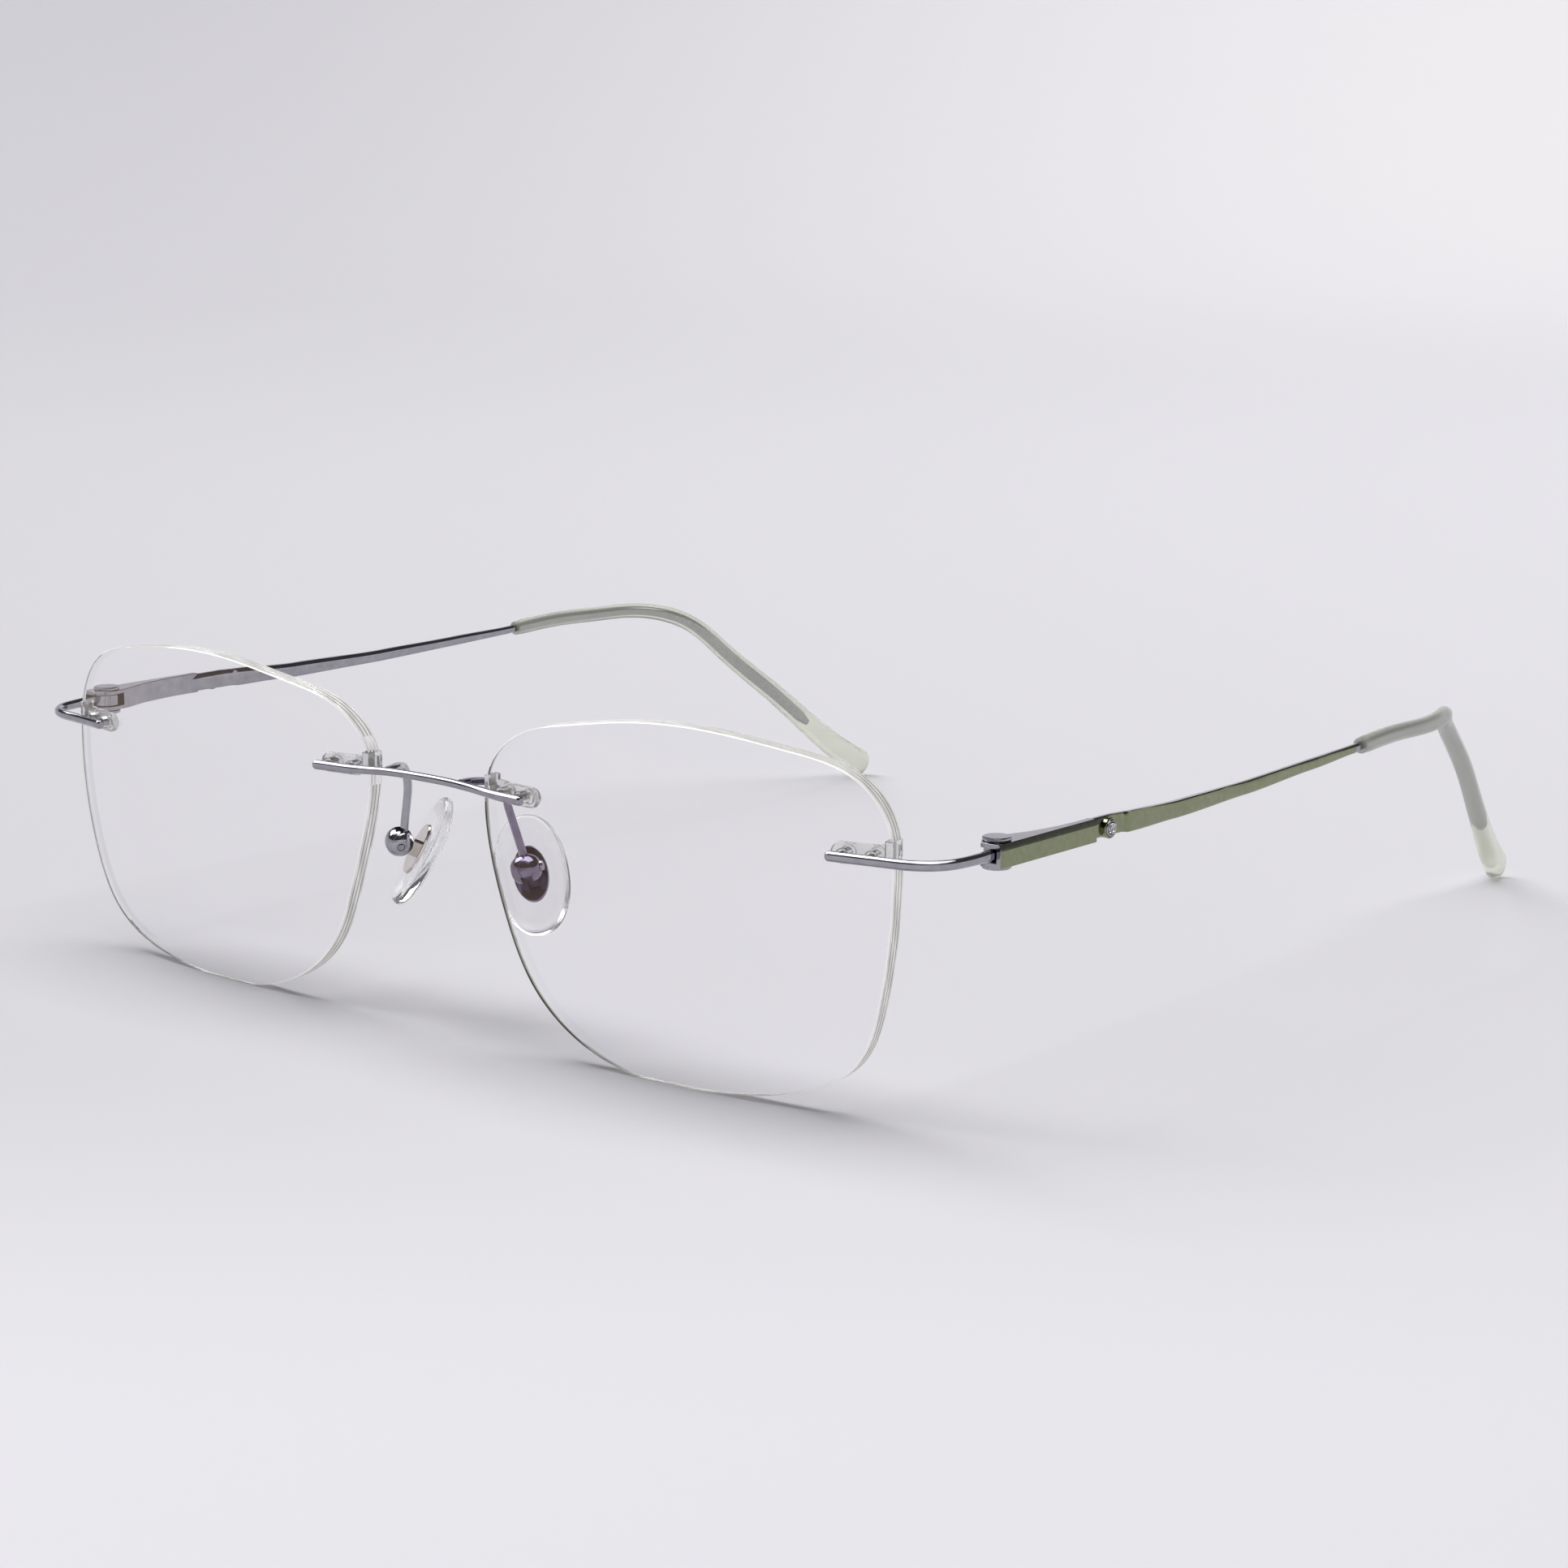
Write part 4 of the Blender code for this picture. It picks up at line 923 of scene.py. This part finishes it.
def sleeve(side, word, body):
    """The soft tip, cast round the core: it flares and closes in a rounded paddle."""
    path = spline(TIP_PATH, TIP_STATIONS)[1:]
    sections = []
    count = len(path)
    for i in range(count):
        wide, tall = tip_width((i + 1) / count)
        grow = min(1.0, 0.9 + 0.05 * i)
        sections.append(oval(wide * grow, tall * grow, 2.2))
    end = path[-1]
    step = (path[-1] - path[-2]) / np.linalg.norm(path[-1] - path[-2])
    wide, tall = tip_width(1.0)
    rounded = [(math.sin(t) * 1.65, max(0.25, math.cos(t))) for t in np.linspace(0.1, 1.45, 9)]
    path = np.vstack([path] + [[end + step * reach] for reach, _ in rounded])
    sections += [oval(wide * shrink, tall * shrink, 2.2) for _, shrink in rounded]
    made = skin(f"{word}_tip_sleeve_fine", sweep(path, sections), side)
    finish(made, f"{word}_tip_sleeve", body, "translucent_sleeve", SLEEVE, sharp=50)


PAD_LENGTHWAYS = ROCK_AXIS.cross(PAD_FACING).normalized()


def pad_arm(side, word):
    """Flat wire from the back of the bridge, out behind the lens edge and down to the box."""
    to_box = Vector((-0.8, 0.25, 1.8)).normalized()
    to_box = (to_box - ROCK_AXIS * to_box.dot(ROCK_AXIS)).normalized()
    end = BOX_CENTRE + to_box * (BOX_RADIUS - 0.1)
    points = [
        (5.5, 1.4, 28.5), (5.65, 2.2, 28.55), (6.5, 3.75, 28.5), (7.35, 5.2, 28.1),
        (7.88, 6.25, 27.1), (8.1, 6.7, 25.8), (8.65, 7.05, 23.6), tuple(end),
    ]
    stations = 90
    path = spline(points, stations)
    sections = []
    for i in range(stations):
        widen = max(0.0, 1 - i / (stations * 0.3))
        sections.append(slab(0.88 + 0.5 * widen, 0.8 - 0.1 * widen, 0.2))
    rings = sweep(path, sections, Vector((0.85, -0.5, 0)).normalized())
    made = skin(f"{word}_pad_arm_fine", rings, side)
    finish(made, f"{word}_pad_arm", "front", "polished_metal", PAD_METALS_LIT_AND_SHADED[word])


def pad_box(side, word):
    half = BOX_LENGTH / 2
    profile = [(-half, 0.7), (-half + 0.03, 0.8), (-half + 0.14, 1.0), (-half + 0.34, 1.23)]
    profile += [(-half + 0.62, 1.42), (-half + 0.88, 1.535), (-half + 1.3, BOX_RADIUS)]
    profile += [(-height, radius) for height, radius in reversed(profile)]
    made = skin(f"{word}_pad_box_fine", turned(BOX_CENTRE, ROCK_AXIS, PAD_FACING, profile, 64), side)
    slot_centre = BOX_CENTRE + PAD_FACING * (3 - BOX_SLOT_DEPTH) / 2
    slot_size = (3 + BOX_SLOT_DEPTH, 6, BOX_SLOT)
    slot = block_rings(slot_centre, PAD_FACING, PAD_LENGTHWAYS, ROCK_AXIS, slot_size)
    bore = rod(BOX_CENTRE - ROCK_AXIS * 3, BOX_CENTRE + ROCK_AXIS * 3, PAD_SCREW_RADIUS + 0.05)
    combine(made, "DIFFERENCE", slot, bore, side=side)
    finish(made, f"{word}_pad_box", "front", "polished_metal", PAD_METALS_LIT_AND_SHADED[word])


def pad_screw(side, word):
    """The cross screw that the pad rocks on: its slotted head stands on the end of the box."""
    half = BOX_LENGTH / 2
    under = half + 0.03
    profile = [(-half - 0.05, PAD_SCREW_RADIUS - 0.05), (-half, PAD_SCREW_RADIUS)]
    profile += [(under, PAD_SCREW_RADIUS), (under, 0.6), (half + 0.22, 0.6)]
    profile += [(half + 0.32, 0.54), (half + 0.35, 0.42)]
    rings = turned(BOX_CENTRE, ROCK_AXIS, PAD_FACING, profile, 40)
    made = skin(f"{word}_pad_screw_fine", rings, side)
    slot_centre = BOX_CENTRE + ROCK_AXIS * (half + 0.36)
    slot = block_rings(slot_centre, PAD_FACING, PAD_LENGTHWAYS, ROCK_AXIS, (0.22, 3, 0.4))
    combine(made, "DIFFERENCE", slot, side=side)
    finish(made, f"{word}_pad_screw", "front", "polished_metal", METAL)


def pad_insert(side, word, body):
    """The metal plate in the pad, with the lug that the screw passes through."""
    wide, tall = PLATE_HALF_WIDTH, PLATE_HALF_HEIGHT
    plate = [(PLATE_NEAR, wide - 0.14, tall - 0.14), (PLATE_NEAR + 0.04, wide - 0.04, tall - 0.04)]
    plate += [(PLATE_NEAR + 0.14, wide, tall), (PLATE_FAR, wide, tall)]
    made = skin(f"{word}_pad_insert_fine", turned(BOX_CENTRE, PAD_FACING, ROCK_AXIS, plate, 64), side)
    reach = PLATE_NEAR + 0.2
    neck_centre = BOX_CENTRE + PAD_FACING * reach / 2
    neck_size = (reach, 1.7, LUG_THICKNESS - 0.04)
    neck = block_rings(neck_centre, PAD_FACING, PAD_LENGTHWAYS, ROCK_AXIS, neck_size)
    offset = ROCK_AXIS * LUG_THICKNESS / 2
    lug = rod(BOX_CENTRE - offset, BOX_CENTRE + offset, LUG_RADIUS, 40)
    combine(made, "UNION", neck, lug, side=side)
    bore = rod(BOX_CENTRE - ROCK_AXIS * 2, BOX_CENTRE + ROCK_AXIS * 2, PAD_SCREW_RADIUS + 0.06)
    combine(made, "DIFFERENCE", bore, side=side)
    finish(made, f"{word}_pad_insert", body, "polished_metal", PLATE_METALS_LIT_AND_SHADED[word])


def nose_pad(side, word, body):
    """A clear oval pad: a flat back with a pocket for the insert, and a domed face."""
    pocket = 0.06
    pocket_size = (PLATE_HALF_WIDTH + pocket, PLATE_HALF_HEIGHT + pocket)
    profile = [(PLATE_FAR + pocket, *pocket_size), (2.35, *pocket_size)]
    profile += [(2.35, 3.2, 6.0), (2.37, 3.45, 6.27), (2.44, 3.68, 6.5), (2.58, 3.86, 6.7)]
    profile += [(2.78, 3.97, 6.82), (3.0, 4.0, 6.85), (3.22, 3.94, 6.78), (3.42, 3.8, 6.6)]
    profile += [(3.62, 3.55, 6.26), (3.82, 3.22, 5.78), (4.0, 2.82, 5.2), (4.15, 2.35, 4.5)]
    profile += [(4.27, 1.8, 3.6), (4.35, 1.2, 2.5), (4.39, 0.6, 1.3)]
    rings = turned(BOX_CENTRE, PAD_FACING, ROCK_AXIS, profile, 96, 2.15)
    pole = BOX_CENTRE + PAD_FACING * 4.4
    made = skin(f"{word}_nose_pad_fine", rings, side, (None, pole))
    finish(made, f"{word}_nose_pad", body, "clear_silicone", SILICONE, sharp=35)


def build():
    bridge()
    for side, word in SIDES:
        arm_body, pad_body = f"{word}_temple_arm", f"{word}_pad"
        lens(side, word)
        for where in MOUNTS:
            lens_plug(side, word, where)
        end_piece(side, word)
        pad_arm(side, word)
        pad_box(side, word)
        pad_screw(side, word)
        pad_insert(side, word, pad_body)
        nose_pad(side, word, pad_body)
        hinge_screw(side, word, arm_body)
        hinge_nut(side, word, arm_body)
        temple(side, word, arm_body)
        bezel(side, word, arm_body)
        crystal(side, word, arm_body)
        sleeve(side, word, arm_body)


# Studio -------------------------------------------------------------------------------------

# In metres.
FLOOR_RADIUS, WALL_HEIGHT, COVE_RADIUS = 1.7, 0.6, 0.5
FLOOR_SIDES = 96
FLOOR_GAP = 0.00002  # the floor lies this far under the object
LIGHT_BOUNCES = 48  # light runs along inside a lens from edge to edge


def studio_paper_painted_light():
    """Pale paper with painted light: lighter to one side, lighter in front of the object, and lighter on
    the wall than on the floor.
    """
    made = Shader("studio_paper_painted_light", Roughness=0.95)
    nodes, links = made.nodes, made.links

    def measure(low, high, direction=None):
        """A factor that grows from 0 to 1 with the distance from the middle, or along a direction."""
        distance = nodes.new("ShaderNodeVectorMath")
        distance.operation = "DOT_PRODUCT" if direction else "LENGTH"
        distance.inputs[1].default_value = direction or (0, 0, 0)
        links.new(made.place, distance.inputs[0])
        spread = nodes.new("ShaderNodeMapRange")
        spread.interpolation_type = "SMOOTHSTEP"
        spread.inputs["From Min"].default_value = low
        spread.inputs["From Max"].default_value = high
        links.new(distance.outputs["Value"], spread.inputs["Value"])
        return spread.outputs["Result"]

    # Painted light: these factors grade the paper lighter to one side, in front of the object and from the
    # floor to the wall.
    lighter = measure(-0.5, 0.5, (0.776, 0.63, 0))
    nearer = measure(0.05, 0.18, (0.63, -0.776, 0))
    factors = {"table": lighter, "floor": nearer, "wall": lighter, "paper": measure(0.7, 1.5)}
    mixes = {}
    for name, factor in factors.items():
        mixes[name] = nodes.new("ShaderNodeMix")
        mixes[name].data_type = "RGBA"
        links.new(factor, mixes[name].inputs["Factor"])
    mixes["table"].inputs["A"].default_value = (0.515, 0.508, 0.533, 1)
    mixes["table"].inputs["B"].default_value = (0.805, 0.793, 0.832, 1)
    mixes["floor"].inputs["B"].default_value = (0.765, 0.755, 0.79, 1)
    mixes["wall"].inputs["A"].default_value = (0.58, 0.572, 0.605, 1)
    mixes["wall"].inputs["B"].default_value = (0.895, 0.88, 0.89, 1)
    links.new(mixes["table"].outputs["Result"], mixes["floor"].inputs["A"])
    links.new(mixes["floor"].outputs["Result"], mixes["paper"].inputs["A"])
    links.new(mixes["wall"].outputs["Result"], mixes["paper"].inputs["B"])
    links.new(mixes["paper"].outputs["Result"], made.principled.inputs["Base Color"])
    made.bump(made.noise(700, 3), 0.05, 0.0002)
    return made.material


def cyclorama():
    """A round pale floor whose rim curves up into a low wall all round."""
    profile = [(radius, 0.0) for radius in (0.0001, 0.3, 0.6, 0.9, FLOOR_RADIUS - COVE_RADIUS)]
    for step in range(1, 13):
        turn = step / 12 * math.pi / 2
        across = FLOOR_RADIUS - COVE_RADIUS + COVE_RADIUS * math.sin(turn)
        profile.append((across, COVE_RADIUS * (1 - math.cos(turn))))
    profile.append((FLOOR_RADIUS, WALL_HEIGHT))
    turns = [k * math.tau / FLOOR_SIDES for k in range(FLOOR_SIDES)]
    shape, loops = skinned([
        [(radius * math.cos(turn), radius * math.sin(turn), height) for turn in turns]
        for radius, height in profile
    ])
    shape.faces.new(loops[0])
    floor = placed("cyclorama", shape)
    floor.data.shade_smooth()
    floor.data.materials.append(studio_paper_painted_light())
    floor.location.z = -FLOOR_GAP


def softbox(name, place, size, power):
    """A rectangular area light at a place, facing the object."""
    light = bpy.data.lights.new(name, "AREA")
    light.shape = "RECTANGLE"
    light.size, light.size_y = size
    light.energy = power
    lamp = bpy.data.objects.new(name, light)
    lamp.location = place
    lamp.rotation_mode = "QUATERNION"
    lamp.rotation_quaternion = Vector(place).to_track_quat("Z", "Y")
    bpy.context.scene.collection.objects.link(lamp)


def studio():
    cyclorama()
    softbox("key_softbox", (-1.15, -0.15, 1.35), (1.15, 1.15), 18)
    softbox("overhead_softbox", (0, 0.1, 2.6), (2.4, 2.4), 50)
    sky = bpy.data.worlds.new("studio_room")
    sky.use_nodes = True
    background = sky.node_tree.nodes["Background"]
    background.inputs["Color"].default_value = (0.9, 0.9, 1.0, 1)
    background.inputs["Strength"].default_value = 0.08
    bpy.context.scene.world = sky
    scene = bpy.context.scene
    scene.view_settings.view_transform = "Standard"
    for kind in ("max_bounces", "transmission_bounces", "glossy_bounces"):
        setattr(scene.cycles, kind, LIGHT_BOUNCES)


# Camera: where it stands in the face frame, and how it is turned.
CAMERA_PLACE = (265.9, -264.5, 103.0)
CAMERA_AZIMUTH, CAMERA_ELEVATION, CAMERA_ROLL = (math.radians(a) for a in (39.08, 11.35, 0.34))
CAMERA_LENS, CAMERA_SENSOR = 80.9, 36.0


def camera():
    data = bpy.data.cameras.new("camera")
    data.lens = CAMERA_LENS
    data.sensor_width = CAMERA_SENSOR
    data.clip_start, data.clip_end = 0.01, 10
    level = math.cos(CAMERA_ELEVATION)
    back = Vector((
        math.sin(CAMERA_AZIMUTH) * level, -math.cos(CAMERA_AZIMUTH) * level, math.sin(CAMERA_ELEVATION)
    ))
    right = Vector((0, 0, 1)).cross(back).normalized()
    up = back.cross(right)
    turned_right = right * math.cos(CAMERA_ROLL) + up * math.sin(CAMERA_ROLL)
    turned_up = up * math.cos(CAMERA_ROLL) - right * math.sin(CAMERA_ROLL)
    made = bpy.data.objects.new("camera", data)
    axes = Matrix((turned_right, turned_up, back)).transposed()
    made.matrix_world = Matrix.Translation(world(CAMERA_PLACE, 1)) @ axes.to_4x4()
    bpy.context.scene.collection.objects.link(made)
    bpy.context.scene.camera = made


camera()
build()
studio()
